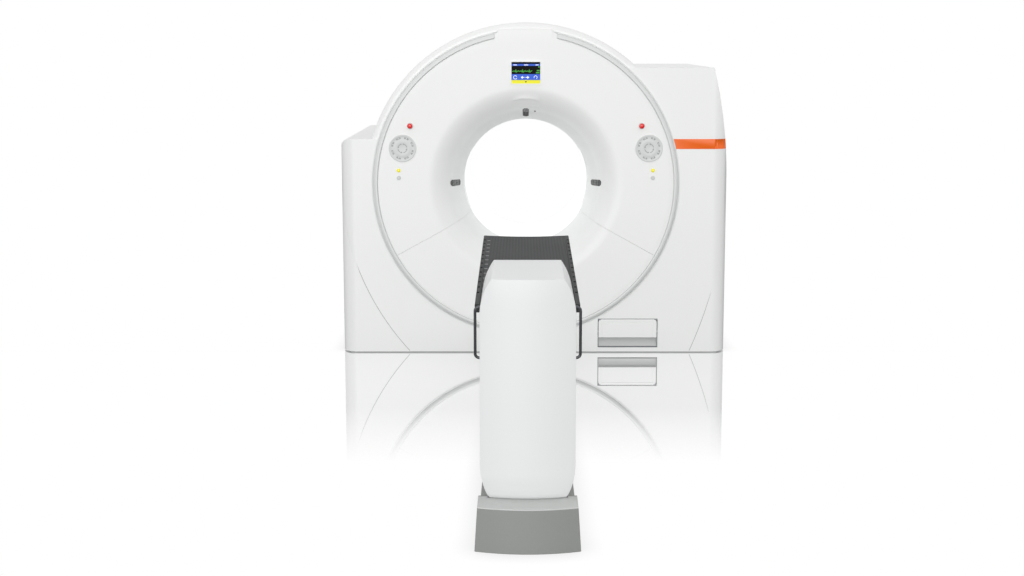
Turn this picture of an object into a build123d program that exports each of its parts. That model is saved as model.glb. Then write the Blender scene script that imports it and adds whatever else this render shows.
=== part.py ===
"""Hospital ring scanner with its travelling patient table.

Frame: millimetres, +Z up, +X to the right when facing the front, front towards -Y.
Origin: on the floor, under the bore axis, at half the depth of the gantry.
"""
from build123d import *
import math
import os

os.makedirs("parts", exist_ok=True)

# Fits and walls shared by all pieces
overrun = 20.0              # how far a cutting shape passes the piece it cuts
fit = 0.3                   # side clearance between neighbouring covers
run_gap = 0.6               # clearance between pieces that move past each other
wall = 8.0                  # moulded gantry covers
tower_wall = 6.0            # moulded table covers

# Gantry envelope
iso_height = 1054.0         # bore axis above the floor
gantry_depth = 1360.0
left_reach = 1139.0         # bore axis to the left side
right_reach = 1243.0        # bore axis to the right side
left_top = 1333.0
right_top = 1767.0
left_top_radius = 45.0
right_lean = 97.0           # how far the right side leans in at its top
right_lean_start = 1066.0   # height at which the right side starts to lean
lean_bow_share = 0.2        # how far the leaning side bows out, as a share of its lean
corner_bow_share = 0.19     # how far the left top corner bows out, as a share of its radius
corner_lap = 12.0           # front and rear panels reach round the corners by this much
plan_radius = 90.0          # rounded upright corners, seen from above
floor_gap = 6.0             # covers end this far above the floor
panel_set_back = 20.0       # front panels behind the lip of the ring trim
seam_top = 1100.0           # corner seams leave the outer edges at this height
left_seam_radius = 1630.0
right_seam_radius = 2750.0

# Front ring
bore_radius = 390.0
face_radius = 907.7         # outer edge of the dished front face
trim_width = 37.0
face_set_back = 8.0         # dished face behind the lip of the ring trim
funnel_start = 600.0        # radius where the flat face turns into the funnel
funnel_blend = 170.0        # rolling radius of that turn
funnel_depth = 242.0
ring_wall = 10.0
lower_seam_angle = 29.0     # radial seams of the lower front cover, below level
tab_half_top = 161.0        # flat tab that crosses the trim at the top
tab_half_foot = 189.0
tab_top = 937.0             # top of its sloping shoulders, above the bore axis
tab_shoulder = 913.0
drum_radius = 986.0
drum_shoulder = 34.0        # rolled front and rear edges of the drum cover
drum_tuck = 60.0            # drum cover reaches this far below the left top
trim_bevel = 8.0
trim_depth = 36.0

# Rear ring
rear_flat_start = 700.0
rear_funnel_depth = 300.0

# Floor frame
foot_height = 12.0
foot_radius = 45.0
foot_inset = 130.0
rail_height = 88.0
rail_width = 100.0
anchor_spacing_x = 1800.0
anchor_spacing_y = 1120.0
anchor_hole_radius = 9.0
frame_set_back = 40.0       # frame behind the front and rear panels

# Bore tubes and scan plane
beam_set_back = 120.0       # scan plane behind the throat of the funnel
tube_wall = 6.0
window_wall = 3.0
window_width = 40.0

# Rotor, bearing and drive
swing_half_depth = 110.0    # carried units either side of the scan plane
disc_thickness = 40.0
disc_radius = 800.0
disc_opening = 440.0
slip_ring_depth = 30.0
bearing_inner_radius = 520.0
bearing_mid_radius = 560.0
bearing_outer_radius = 640.0
bearing_length = 130.0
drive_radius = 700.0
drive_ring_wall = 20.0
drive_length = 40.0
drive_air_gap = 2.0
drive_stator_wall = 38.0
drive_stator_angle = 80.0
stator_gap = 60.0           # stator frame behind the rotor disc
stator_thickness = 80.0
stator_radius = 900.0
stator_leg = 880.0          # half width over the legs of the stator frame
stator_leg_width = 260.0
brush_size = 66.0
brush_height = 220.0

# Units carried by the rotor
tube_orbit = 620.0
tube_housing_radius = 110.0
tube_cap_radius = 80.0
tube_cap_length = 40.0
collimator_width = 180.0
collimator_height = 50.0
collimator_depth = 160.0
detector_inner = 610.0
detector_wall = 90.0
detector_angle = 64.0
generator_width = 230.0
generator_height = 320.0
generator_orbit = 640.0
cooler_width = 200.0
cooler_height = 300.0
cooler_fin = 12.0
cooler_fin_count = 6
weight_inner = 640.0
weight_wall = 110.0
weight_angle = 26.0
weight_depth = 100.0
weight_heading = 215.0

# Rear detector ring
pet_start = 60.0            # front of the rear detector ring
pet_length = 240.0
pet_inner = 430.0
pet_wall = 130.0
pet_module_count = 28
pet_support_thickness = 60.0
pet_support_radius = 640.0

# Display and controls on the ring
display_width = 186.0
display_height = 142.0
display_centre = 682.0      # above the bore axis
display_border = 6.0
display_proud = 8.0
display_recess = 4.0
display_radius = 8.0
control_orbit_x = 753.0     # keypad centres
keypad_height = 223.0       # above the bore axis
keypad_radius = 84.0
keypad_proud = 5.0
keypad_bevel = 2.0
stop_x = 706.0
stop_height = 360.0
stop_radius = 16.0
stop_head = 9.0
stop_travel = 6.0
stop_collar_radius = 20.0
stop_collar_proud = 5.0
stem_radius = 6.0
stem_length = 24.0
signal_x = 778.0
lamp_height = 87.0
lamp_radius = 12.0
lamp_proud = 6.0
call_height = 42.0
call_radius = 9.0
call_collar_radius = 13.0
call_collar_proud = 4.0
call_proud = 3.0

# Laser windows and sensor panel in the funnel
laser_width = 38.0
laser_length = 60.0
laser_thickness = 6.0
laser_proud = 1.5
laser_share = 0.40          # place along the funnel's straight side, from its front
sensor_width = 186.0
sensor_height = 52.0
sensor_proud = 1.0
sensor_thickness = 6.0

# Access flap in the right front panel
flap_left = 451.0
flap_right = 817.0
flap_low = 35.0
flap_high = 211.0
flap_gap = 3.0
flap_grip_inset = 19.0
flap_grip_low = 41.0
flap_grip_high = 93.0
grip_depth = 30.0
grip_wall = 3.0
hinge_pin_radius = 2.0
pin_end = 16.0              # the hinge pin ends this deep inside the panel

# Table base
base_reach = 3211.0         # nose of the base to the front of the gantry
base_half_foot = 203.5
base_half_top = 192.5
base_height = 173.0
base_bulge = 16.0
dock_gap = 1.0
dock_half = 150.0
dock_low = 10.0
dock_high = 95.0
nose_plate_depth = 140.0
nose_plate_thickness = 6.0
channel_half = 155.0
channel_floor = 20.0
rail_half_gap = 110.0
guide_width = 30.0
guide_height = 40.0
track_half = 35.0
track_height = 22.0
channel_end_wall = 20.0

# Tower on its carriage
tower_set_back = 61.0       # tower front behind the nose of the base
tower_depth = 455.0
tower_half = 188.5
tower_foot_half = 147.0
tower_foot_rise = 90.0
tower_low = 176.0
tower_top = 1043.0
tower_top_half = 143.5
shoulder_rise = 143.0       # height of the curved shoulders below the top
foot_tuck = 65.0            # front curves under by this much at the foot
foot_tuck_rise = 110.0
carriage_length = 350.0
carriage_half = 145.0
carriage_low = 26.0
mast_half = 70.0
mast_depth = 80.0
mast_set_back = 190.0       # mast behind the tower front
mast_top_gap = 60.0
screw_radius = 18.0
screw_set_back = 320.0
slot_half = 86.0
slot_margin = 12.0
lift_down = 320.0
lift_up = 50.0

# Handles on the tower
handle_radius = 5.5
handle_stand_off = 24.0
handle_low = 735.0
handle_high = 915.0
handle_bend = 16.0
handle_set_back = 45.0

# Pallet and lift bracket
pallet_top = 872.0
pallet_head_half = 215.0
pallet_foot_half = 203.0
pallet_dip = 40.0
pallet_thickness = 24.0
pallet_reach = 930.0        # head end in front of the gantry
pallet_gap = 12.0           # pallet foot behind the tower
side_rail_width = 20.0
side_rail_height = 34.0
side_rail_overhang = 69.0   # rails run past the tower's rear by this much
bracket_half = 120.0
bracket_low = 690.0
bracket_high = 800.0
bracket_depth = 96.0
arm_half = 80.0
arm_low = 710.0
arm_high = 790.0
beam_half_gap = 85.0
beam_width = 50.0
beam_rise = 40.0            # beams reach this far above the lift arm, cut to the pallet's curve
beam_share = 0.88           # length of the pallet frame as a share of the pallet
cross_count = 4
cross_length = 60.0
screw_clear = 45.0          # room round the lift screw at the tower's foot

# Stations along the depth, worked out from the sizes above
front_y = -gantry_depth / 2
face_y = front_y + face_set_back
panel_y = front_y + panel_set_back
rear_panel_y = -panel_y
throat_y = face_y + funnel_depth
beam_y = throat_y + beam_set_back
swing_front_y = beam_y - swing_half_depth
disc_y = beam_y + swing_half_depth
disc_back_y = disc_y + disc_thickness
stator_y = disc_back_y + stator_gap
stator_back_y = stator_y + stator_thickness
pet_end_y = pet_start + pet_length
rear_face_y = -face_y
rear_throat_y = rear_face_y - rear_funnel_depth
trim_radius = face_radius + fit + trim_width
frame_top = foot_height + rail_height
nose_y = front_y - base_reach
tower_y = nose_y + tower_set_back
tower_back_y = tower_y + tower_depth
mast_y = tower_y + mast_set_back
screw_y = tower_y + screw_set_back
head_y = front_y - pallet_reach
foot_y = tower_back_y + pallet_gap

parts = {}


def view_plane(y):
    """Upright plane at depth y that faces the front: local x is +X, local y is +Z."""
    return Plane((0, y, 0), x_dir=(1, 0, 0), z_dir=(0, -1, 0))


def slab(sketch, y_front, y_back):
    """Front-view sketch drawn out in depth from y_front to y_back."""
    return extrude(view_plane(y_back) * sketch, amount=y_back - y_front)


def side_slab(sketch, x_low, x_high):
    """Side-view sketch (local x is +Y, local y is +Z) drawn out from x_low to x_high."""
    plane = Plane((x_low, 0, 0), x_dir=(0, 1, 0), z_dir=(1, 0, 0))
    return extrude(plane * sketch, amount=x_high - x_low)


def block(x_low, x_high, y_low, y_high, z_low, z_high):
    """Box between two corners."""
    centre = Pos((x_low + x_high) / 2, (y_low + y_high) / 2, (z_low + z_high) / 2)
    return centre * Box(x_high - x_low, y_high - y_low, z_high - z_low)


def polygon(*points):
    """Flat face through the given corners."""
    return make_face(Polyline(*points, close=True))


def turned(*edges, arc=360.0):
    """Ring about the bore axis from profile edges drawn in radius and depth."""
    return Pos(0, 0, iso_height) * revolve(make_face(edges), Axis.Y, revolution_arc=arc)


def ring(outer, inner, y_front, y_back):
    """Plain ring about the bore axis."""
    return slab(Pos(0, iso_height) * (Circle(outer) - Circle(inner)), y_front, y_back)


def plug(radius, y_front, y_back, x=0.0, height=0.0):
    """Round bar along the depth; height is above the bore axis."""
    return slab(Pos(x, iso_height + height) * Circle(radius), y_front, y_back)


def ring_sector(outer, inner, heading, angle, y_front, y_back):
    """Part of a ring, centred on a heading in degrees from +X towards +Z."""
    reach = 2 * outer
    half = math.radians(angle / 2)
    wedge = polygon((0, 0), (reach * math.cos(half), -reach * math.sin(half)),
                    (reach * math.cos(half), reach * math.sin(half)))
    sector = (Circle(outer) - Circle(inner)) & (Rot(0, 0, heading) * wedge)
    return slab(Pos(0, iso_height) * sector, y_front, y_back)


def both_sides(solid):
    """The solid and its mirror image across the middle plane."""
    return solid, mirror(solid, about=Plane.YZ)


# Gantry covers: one hollow housing, parted along the real seams


def bowed(start, end, bow):
    """Arc between two points that stands out from its chord by bow, to the left of the way along it."""
    along = Vector(end[0] - start[0], end[1] - start[1])
    middle = ((start[0] + end[0]) / 2, (start[1] + end[1]) / 2)
    sideways = bow / along.length
    return ThreePointArc(start, (middle[0] - along.Y * sideways, middle[1] + along.X * sideways), end)


def left_outline(inset, inner_edge, bottom):
    """Front view of the left half, with its rounded top corner."""
    reach, top, radius = left_reach - inset, left_top - inset, left_top_radius - inset
    low_end, high_end = (-reach, top - radius), (radius - reach, top)
    return make_face([
        Line((inner_edge, bottom), (-reach, bottom)),
        Line((-reach, bottom), low_end),
        bowed(low_end, high_end, corner_bow_share * radius),
        Line(high_end, (inner_edge, top)),
        Line((inner_edge, top), (inner_edge, bottom)),
    ])


def right_outline(inset, inner_edge, bottom):
    """Front view of the right half, whose side leans in on one large arc."""
    reach, top = right_reach - inset, right_top - inset
    low_end, high_end = (reach, right_lean_start), (reach - right_lean, top)
    return make_face([
        Line((inner_edge, bottom), (reach, bottom)),
        Line((reach, bottom), low_end),
        bowed(high_end, low_end, lean_bow_share * right_lean),
        Line(high_end, (inner_edge, top)),
        Line((inner_edge, top), (inner_edge, bottom)),
    ])


def plan_block(inset, bottom, top):
    """Both halves seen from above, with rounded upright corners."""
    width = left_reach + right_reach - 2 * inset
    depth = 2 * (rear_panel_y - inset)
    plan = RectangleRounded(width, depth, plan_radius - inset)
    return extrude(Pos((right_reach - left_reach) / 2, 0, bottom) * plan, amount=top - bottom)


def housing_half(outline, side):
    """Hollow half of the housing, open below."""
    highest = right_top + overrun
    outer = slab(outline(0, 0, floor_gap), panel_y, rear_panel_y)
    outer &= plan_block(0, floor_gap, highest)
    cavity = slab(outline(wall, -side * overrun, -overrun), panel_y, rear_panel_y)
    cavity &= plan_block(wall, -overrun, highest)
    return outer - cavity


def seam_region(side, reach, seam_radius):
    """Front-view area on the ring's side of a corner seam."""
    tall = right_top + overrun
    inside = Pos(side * (reach - seam_radius), seam_top) * Circle(seam_radius)
    above = Pos(side * reach / 2, (seam_top + tall) / 2) * Rectangle(reach, tall - seam_top)
    return inside + above


def add_housing(name, outline, side, reach, seam_radius):
    """Part one half of the housing into its front, corner and side covers; returns its rear panel."""
    half = housing_half(outline, side)
    front_split = panel_y + plan_radius + corner_lap
    rear_split = -front_split
    wide = left_reach + right_reach
    tall = right_top + overrun
    front = half & block(-wide, wide, front_y, front_split, -overrun, tall)
    rear = half & block(-wide, wide, rear_split, -front_y, -overrun, tall)
    middle = half & block(-wide, wide, front_split, rear_split, -overrun, tall)
    # Panels stop at the trim and are rebated where they lap the drum
    rebate = wall / 2
    drum_space = plug(drum_radius + fit, panel_y + rebate, rear_panel_y - rebate) & block(
        -wide, wide, front_y, -front_y, left_top - drum_tuck - fit, 2 * tall)
    front -= plug(trim_radius + fit, front_y, front_split + overrun)
    rear -= plug(trim_radius + fit, rear_split - overrun, -front_y)
    inside = slab(seam_region(side, reach, seam_radius), front_y, front_split + overrun)
    parts[name + "_front_panel"] = (front & inside) - drum_space
    parts[name + "_corner_panel"] = front - inside
    parts[name + "_side_cover"] = middle - drum_space
    return rear - drum_space


left_rear = add_housing("left", left_outline, -1, left_reach, left_seam_radius)
right_rear = add_housing("right", right_outline, 1, right_reach, right_seam_radius)
parts["rear_panel"] = left_rear + right_rear

# Drum cover: upper part of the barrel, with rolled edges front and rear
lip_radius = trim_radius + fit
shoulder_y = panel_y + wall + fit
drum_end_y = rear_panel_y - wall - fit
drum_flat = drum_radius - drum_shoulder
drum_cover = turned(
    Line((lip_radius, shoulder_y), (drum_flat, shoulder_y)),
    CenterArc((drum_flat, shoulder_y + drum_shoulder), drum_shoulder, -90, 90),
    Line((drum_radius, shoulder_y + drum_shoulder), (drum_radius, drum_end_y - drum_shoulder)),
    CenterArc((drum_flat, drum_end_y - drum_shoulder), drum_shoulder, 0, 90),
    Line((drum_flat, drum_end_y), (lip_radius, drum_end_y)),
    Line((lip_radius, drum_end_y), (lip_radius, drum_end_y - wall)),
    Line((lip_radius, drum_end_y - wall), (drum_flat, drum_end_y - wall)),
    Line((drum_flat, drum_end_y - wall), (drum_radius - wall, drum_end_y - drum_shoulder)),
    Line((drum_radius - wall, drum_end_y - drum_shoulder), (drum_radius - wall, shoulder_y + drum_shoulder)),
    Line((drum_radius - wall, shoulder_y + drum_shoulder), (drum_flat, shoulder_y + wall)),
    Line((drum_flat, shoulder_y + wall), (lip_radius, shoulder_y + wall)),
    Line((lip_radius, shoulder_y + wall), (lip_radius, shoulder_y)),
)
parts["drum_cover"] = drum_cover & block(
    -drum_radius - overrun, drum_radius + overrun, front_y, -front_y,
    left_top - drum_tuck, iso_height + drum_radius + overrun)

# Ring trim with a gap for the tab of the front cover


def tab_area(growth, top):
    """Front view of the tab, grown sideways, up to a given height above the bore axis."""
    foot, head = tab_half_foot + growth, tab_half_top + growth
    shoulder = iso_height + tab_shoulder
    return polygon(
        (-foot, iso_height), (-foot, shoulder), (-head, iso_height + tab_top), (-head, iso_height + top),
        (head, iso_height + top), (head, iso_height + tab_top), (foot, shoulder), (foot, iso_height))


trim_inner = face_radius + fit
trim_back = front_y + trim_depth
ring_trim = turned(Polyline(
    (trim_inner, trim_back), (trim_inner, front_y + trim_bevel), (trim_inner + trim_bevel, front_y),
    (trim_radius - trim_bevel, front_y), (trim_radius, front_y + trim_bevel), (trim_radius, trim_back),
    close=True))
tab_gap = tab_area(fit, trim_radius + overrun)
parts["ring_trim"] = ring_trim - slab(tab_gap, front_y - overrun, trim_back + overrun)

# Front ring cover: flat face, rolled turn and straight funnel down to the bore
turn_y = face_y + funnel_blend
to_turn = Vector(funnel_start - bore_radius, turn_y - throat_y)
funnel_run = math.sqrt(to_turn.length**2 - funnel_blend**2)
funnel_lean = math.atan2(to_turn.Y, to_turn.X) - math.asin(funnel_blend / to_turn.length)
turn_end = (bore_radius + funnel_run * math.cos(funnel_lean), throat_y + funnel_run * math.sin(funnel_lean))
turn_end_angle = math.degrees(math.atan2(turn_end[1] - turn_y, turn_end[0] - funnel_start))


def turn_back(angle):
    """Point on the hidden side of the rolled turn."""
    radius = funnel_blend - ring_wall
    heading = math.radians(angle)
    return funnel_start + radius * math.cos(heading), turn_y + radius * math.sin(heading)


turn_sweep = -90 - turn_end_angle
back_points = [turn_back(turn_end_angle + step * turn_sweep / 2) for step in range(3)]
front_ring = turned(
    Line((bore_radius, throat_y), turn_end),
    CenterArc((funnel_start, turn_y), funnel_blend, turn_end_angle, turn_sweep),
    Line((funnel_start, face_y), (face_radius, face_y)),
    Line((face_radius, face_y), (face_radius, face_y + ring_wall)),
    Polyline((face_radius, face_y + ring_wall), *reversed(back_points), (bore_radius + ring_wall, throat_y)),
    Line((bore_radius + ring_wall, throat_y), (bore_radius, throat_y)),
)
tab = slab(tab_area(0, trim_radius), face_y, face_y + ring_wall) - plug(face_radius, front_y, throat_y)
seam_x = drum_radius * math.cos(math.radians(lower_seam_angle))
seam_drop = drum_radius * math.sin(math.radians(lower_seam_angle))
lower_outline = polygon(
    (0, iso_height), (-seam_x, iso_height - seam_drop), (-seam_x, -overrun),
    (seam_x, -overrun), (seam_x, iso_height - seam_drop))
lower_zone = slab(lower_outline, front_y, throat_y + overrun)
ring_upper = front_ring - lower_zone + tab
parts["front_lower_cover"] = front_ring & lower_zone

# Laser windows and sensor panel lie on the straight side of the funnel


def on_funnel(sketch, heading, share, low, high):
    """Plate on the funnel's straight side; low and high are heights off its surface."""
    radius = turn_end[0] + share * (bore_radius - turn_end[0])
    depth = turn_end[1] + share * (throat_y - turn_end[1])
    tangent = (math.cos(funnel_lean), math.sin(funnel_lean))
    normal = (-tangent[1], tangent[0])
    outward = normal if normal[0] < 0 else (-normal[0], -normal[1])
    turn = math.radians(heading)
    across = (math.cos(turn), math.sin(turn))
    plane = Plane(
        (across[0] * (radius + low * outward[0]), depth + low * outward[1],
         iso_height + across[1] * (radius + low * outward[0])),
        x_dir=(-across[1], 0, across[0]),
        z_dir=(across[0] * outward[0], outward[1], across[1] * outward[0]))
    return extrude(plane * sketch, amount=high - low)


laser_plate = Rectangle(laser_width, laser_length)
sensor = on_funnel(SlotOverall(sensor_width, sensor_height), 90, 0, -sensor_thickness, sensor_proud)
laser_windows = []
for heading in (90, 180, 0):
    window = on_funnel(laser_plate, heading, laser_share, -laser_thickness, laser_proud)
    ring_upper -= window
    sensor -= window
    laser_windows.append(window)
ring_upper -= on_funnel(
    SlotOverall(sensor_width, sensor_height), 90, 0, -sensor_thickness, sensor_height)
parts["laser_windows"] = Compound(children=laser_windows)
parts["sensor_panel"] = sensor & turned(Polyline(
    (bore_radius - sensor_height, throat_y), (bore_radius - sensor_height, front_y),
    (funnel_start, front_y), (funnel_start, throat_y), close=True))

# Display on the flat of the ring
display_y = face_y - display_proud
display_outline = Pos(0, iso_height + display_centre) * RectangleRounded(
    display_width, display_height, display_radius)
screen_outline = Pos(0, iso_height + display_centre) * RectangleRounded(
    display_width - 2 * display_border, display_height - 2 * display_border, display_border / 2)
screen_y = display_y + display_border / 2
bezel_floor = screen_y + display_recess
parts["display_bezel"] = slab(display_outline, display_y, face_y) - slab(
    screen_outline, display_y - overrun, bezel_floor)
parts["display_screen"] = slab(offset(screen_outline, -fit), screen_y, bezel_floor)

# Keypads, stop buttons, signal lamps and call buttons, left and right
keypad = plug(keypad_radius, face_y - keypad_proud, face_y, control_orbit_x, keypad_height)
keypad = chamfer(keypad.faces().sort_by(Axis.Y)[0].edges(), keypad_bevel)
stop_y = face_y - stop_collar_proud
stop_collar = plug(stop_collar_radius, stop_y, face_y, stop_x, stop_height)
stop_collar -= plug(stem_radius + fit, stop_y - overrun, face_y + overrun, stop_x, stop_height)
stop_under_y = stop_y - stop_travel - fit
stop_button = plug(stop_radius, stop_under_y - stop_head, stop_under_y, stop_x, stop_height)
stop_button = fillet(stop_button.faces().sort_by(Axis.Y)[0].edges(), stop_head / 2)
stop_button += plug(stem_radius, stop_under_y, stop_under_y + stem_length, stop_x, stop_height)
call_y = face_y - call_collar_proud
call_bore = call_radius + fit
call_collar = plug(call_collar_radius, call_y, face_y, signal_x, call_height)
call_collar -= plug(call_bore, call_y - overrun, face_y + overrun, signal_x, call_height)
call_button = plug(call_radius, call_y - call_proud, call_y + stem_length, signal_x, call_height)
lamp = plug(lamp_radius, face_y - lamp_proud, face_y, signal_x, lamp_height)
lamp = fillet(lamp.faces().sort_by(Axis.Y)[0].edges(), lamp_proud * 2 / 3)
parts["keypads"] = Compound(children=[*both_sides(keypad)])
parts["stop_button_right"], parts["stop_button_left"] = both_sides(stop_button)
parts["call_button_right"], parts["call_button_left"] = both_sides(call_button)
parts["signal_lamps"] = Compound(children=[*both_sides(lamp)])
parts["button_collars"] = Compound(children=[*both_sides(stop_collar), *both_sides(call_collar)])
for side in (-1, 1):
    ring_upper -= plug(stem_radius + fit, front_y, throat_y, side * stop_x, stop_height)
    ring_upper -= plug(call_bore, front_y, throat_y, side * signal_x, call_height)
parts["front_ring_cover"] = ring_upper

# Access flap in the right front panel, hung on a pin along its top edge
panel_back_y = panel_y + wall
flap_middle = ((flap_left + flap_right) / 2, (flap_low + flap_high) / 2)
flap_width = flap_right - flap_left
flap_height = flap_high - flap_low
hinge_z = flap_high - wall / 2
hinge_y = panel_y + wall / 2
pin_reach = flap_width / 2 + flap_gap + pin_end


def flap_area(growth):
    """Front view of the flap, grown on all sides."""
    return Pos(*flap_middle) * Rectangle(flap_width + 2 * growth, flap_height + 2 * growth)


def hinge_bar(radius):
    """Bar on the hinge axis, long enough to end inside the panel on both sides."""
    section = Pos(hinge_y, hinge_z) * Circle(radius)
    return side_slab(section, flap_middle[0] - pin_reach, flap_middle[0] + pin_reach)


grip_area = Pos(flap_middle[0], (flap_grip_low + flap_grip_high) / 2) * Rectangle(
    flap_width - 2 * flap_grip_inset, flap_grip_high - flap_grip_low)
grip_flange = offset(grip_area, grip_wall)
flap = slab(flap_area(0), panel_y, panel_back_y) - slab(grip_area, panel_y - overrun, panel_back_y + overrun)
grip_cup = slab(grip_flange, panel_back_y, panel_back_y + grip_depth)
grip_cup -= slab(grip_area, panel_back_y - overrun, panel_back_y + grip_depth - grip_wall)
right_front = parts["right_front_panel"] - slab(flap_area(flap_gap), front_y, panel_back_y + overrun)
hinge_pin = hinge_bar(hinge_pin_radius)
parts["right_front_panel"] = right_front - hinge_pin
parts["access_flap"] = flap - hinge_bar(hinge_pin_radius + fit)
parts["flap_grip"] = grip_cup
parts["flap_hinge_pin"] = hinge_pin

# Rear ring cover with its wider funnel
parts["rear_ring_cover"] = turned(Polyline(
    (bore_radius, rear_throat_y), (rear_flat_start, rear_face_y), (trim_radius, rear_face_y),
    (trim_radius, rear_face_y - ring_wall), (rear_flat_start, rear_face_y - ring_wall),
    (bore_radius + ring_wall, rear_throat_y), close=True))

# Bore lining: clear scan window from the throat past the scan plane, then the rear tube
window_back_y = beam_y + window_width / 2
parts["scan_window"] = ring(bore_radius + window_wall, bore_radius, throat_y, window_back_y)
parts["bore_tube_rear"] = ring(bore_radius + tube_wall, bore_radius, window_back_y, rear_throat_y)

# Floor frame on levelling feet
frame_left = wall - left_reach
frame_right = right_reach - wall
frame_front = panel_back_y + frame_set_back
frame_back = -frame_front
pet_support_y = pet_end_y
cross_beams = ((stator_y, stator_back_y), (pet_support_y, pet_support_y + pet_support_thickness))
frame_width = frame_right - frame_left
frame_middle = (frame_left + frame_right) / 2
frame_area = Pos(frame_middle, 0) * RectangleRounded(frame_width, frame_back - frame_front, plan_radius)
frame_area -= Pos(frame_middle, 0) * Rectangle(
    frame_width - 2 * rail_width, frame_back - frame_front - 2 * rail_width)
for beam_low, beam_high in cross_beams:
    frame_area += Pos(frame_middle, (beam_low + beam_high) / 2) * Rectangle(frame_width, beam_high - beam_low)
frame_area -= GridLocations(anchor_spacing_x, anchor_spacing_y, 2, 2) * Circle(anchor_hole_radius)
parts["base_frame"] = extrude(Pos(0, 0, foot_height) * frame_area, amount=rail_height)
foot_places = GridLocations(frame_width - 2 * foot_inset, frame_back - frame_front - rail_width, 2, 2)
parts["levelling_feet"] = Compound(children=[
    extrude(Pos(frame_middle, 0) * place * Circle(foot_radius), amount=foot_height) for place in foot_places])


def arch_plate(radius, half_width, opening, leg_width, y_front, y_back):
    """Upright ring plate on two legs that stand on the floor frame."""
    leg_height = iso_height - frame_top
    area = Pos(0, iso_height) * Circle(radius)
    area += Pos(0, frame_top + leg_height / 2) * Rectangle(2 * half_width, leg_height)
    foot_span = half_width - leg_width
    foot_rise = iso_height - radius - frame_top
    if foot_rise > 0:
        area -= Pos(0, frame_top + foot_rise / 2) * Rectangle(2 * foot_span, foot_rise)
    area -= Pos(0, iso_height) * Circle(opening)
    return slab(area, y_front, y_back)


# Stator frame with the outer bearing ring, the drive stator and the brush block
parts["stator_frame"] = arch_plate(
    stator_radius, stator_leg, bearing_outer_radius, stator_leg_width, stator_y, stator_back_y)
bearing_back_y = disc_back_y + bearing_length
parts["bearing_outer"] = ring(
    bearing_outer_radius, bearing_mid_radius + run_gap, stator_y, stator_back_y)
drive_outer = drive_radius + drive_ring_wall
parts["drive_stator"] = ring_sector(
    drive_outer + drive_air_gap + drive_stator_wall, drive_outer + drive_air_gap,
    90, drive_stator_angle, stator_y - drive_length, stator_y)
slip_radius = disc_radius + slip_ring_depth
parts["brush_block"] = block(
    -slip_radius - run_gap - brush_size, -slip_radius - run_gap, disc_y, stator_y,
    iso_height - brush_height / 2, iso_height + brush_height / 2)

# Rotor: disc with its inner bearing ring, drive ring and slip ring
parts["rotor_disc"] = ring(disc_radius, disc_opening, disc_y, disc_back_y)
parts["bearing_inner"] = ring(bearing_mid_radius, bearing_inner_radius, disc_back_y, bearing_back_y)
parts["drive_ring"] = ring(drive_outer, drive_radius, disc_back_y, stator_y - drive_air_gap)
parts["slip_ring"] = ring(slip_radius, disc_radius, disc_y, disc_back_y)

# Units bolted to the front of the rotor disc
tube_housing = plug(tube_housing_radius, swing_front_y + tube_cap_length, disc_y, 0, tube_orbit)
tube_housing += plug(tube_cap_radius, swing_front_y, disc_y, 0, tube_orbit)
parts["tube_housing"] = tube_housing
collimator_top = iso_height + tube_orbit - tube_housing_radius
collimator_area = Pos(0, collimator_top - collimator_height / 2) * Trapezoid(
    collimator_width, collimator_height, math.degrees(math.atan2(collimator_height, collimator_height / 2)))
parts["collimator"] = slab(collimator_area, disc_y - collimator_depth, disc_y)
parts["arc_detector"] = ring_sector(
    detector_inner + detector_wall, detector_inner, -90, detector_angle, swing_front_y, disc_y)
generator_area = Pos(-generator_orbit, iso_height) * RectangleRounded(
    generator_width, generator_height, tube_cap_length / 2)
parts["generator"] = slab(generator_area, swing_front_y, disc_y)
cooler_area = Pos(generator_orbit, iso_height) * Rectangle(cooler_width, cooler_height)
cooler = slab(cooler_area, swing_front_y, disc_y)
fin_pitch = cooler_height / cooler_fin_count
for place in GridLocations(cooler_width, fin_pitch, 1, cooler_fin_count):
    fin_gap = Pos(generator_orbit, iso_height) * place * Rectangle(cooler_width, fin_pitch - cooler_fin)
    cooler -= slab(fin_gap, swing_front_y - overrun, beam_y)
parts["cooler"] = cooler
parts["balance_weight"] = ring_sector(
    weight_inner + weight_wall, weight_inner, weight_heading, weight_angle, disc_y - weight_depth, disc_y)

# Rear detector ring of flat modules and its support
module_turn = 180 / pet_module_count
pet_area = RegularPolygon(pet_inner + pet_wall, pet_module_count) - RegularPolygon(
    pet_inner / math.cos(math.radians(module_turn)), pet_module_count)
parts["rear_detector_ring"] = slab(Pos(0, iso_height) * pet_area, pet_start, pet_end_y)
parts["rear_ring_support"] = arch_plate(
    pet_support_radius, pet_support_radius, bore_radius + tube_wall + fit, stator_leg_width,
    pet_support_y, pet_support_y + pet_support_thickness)

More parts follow.
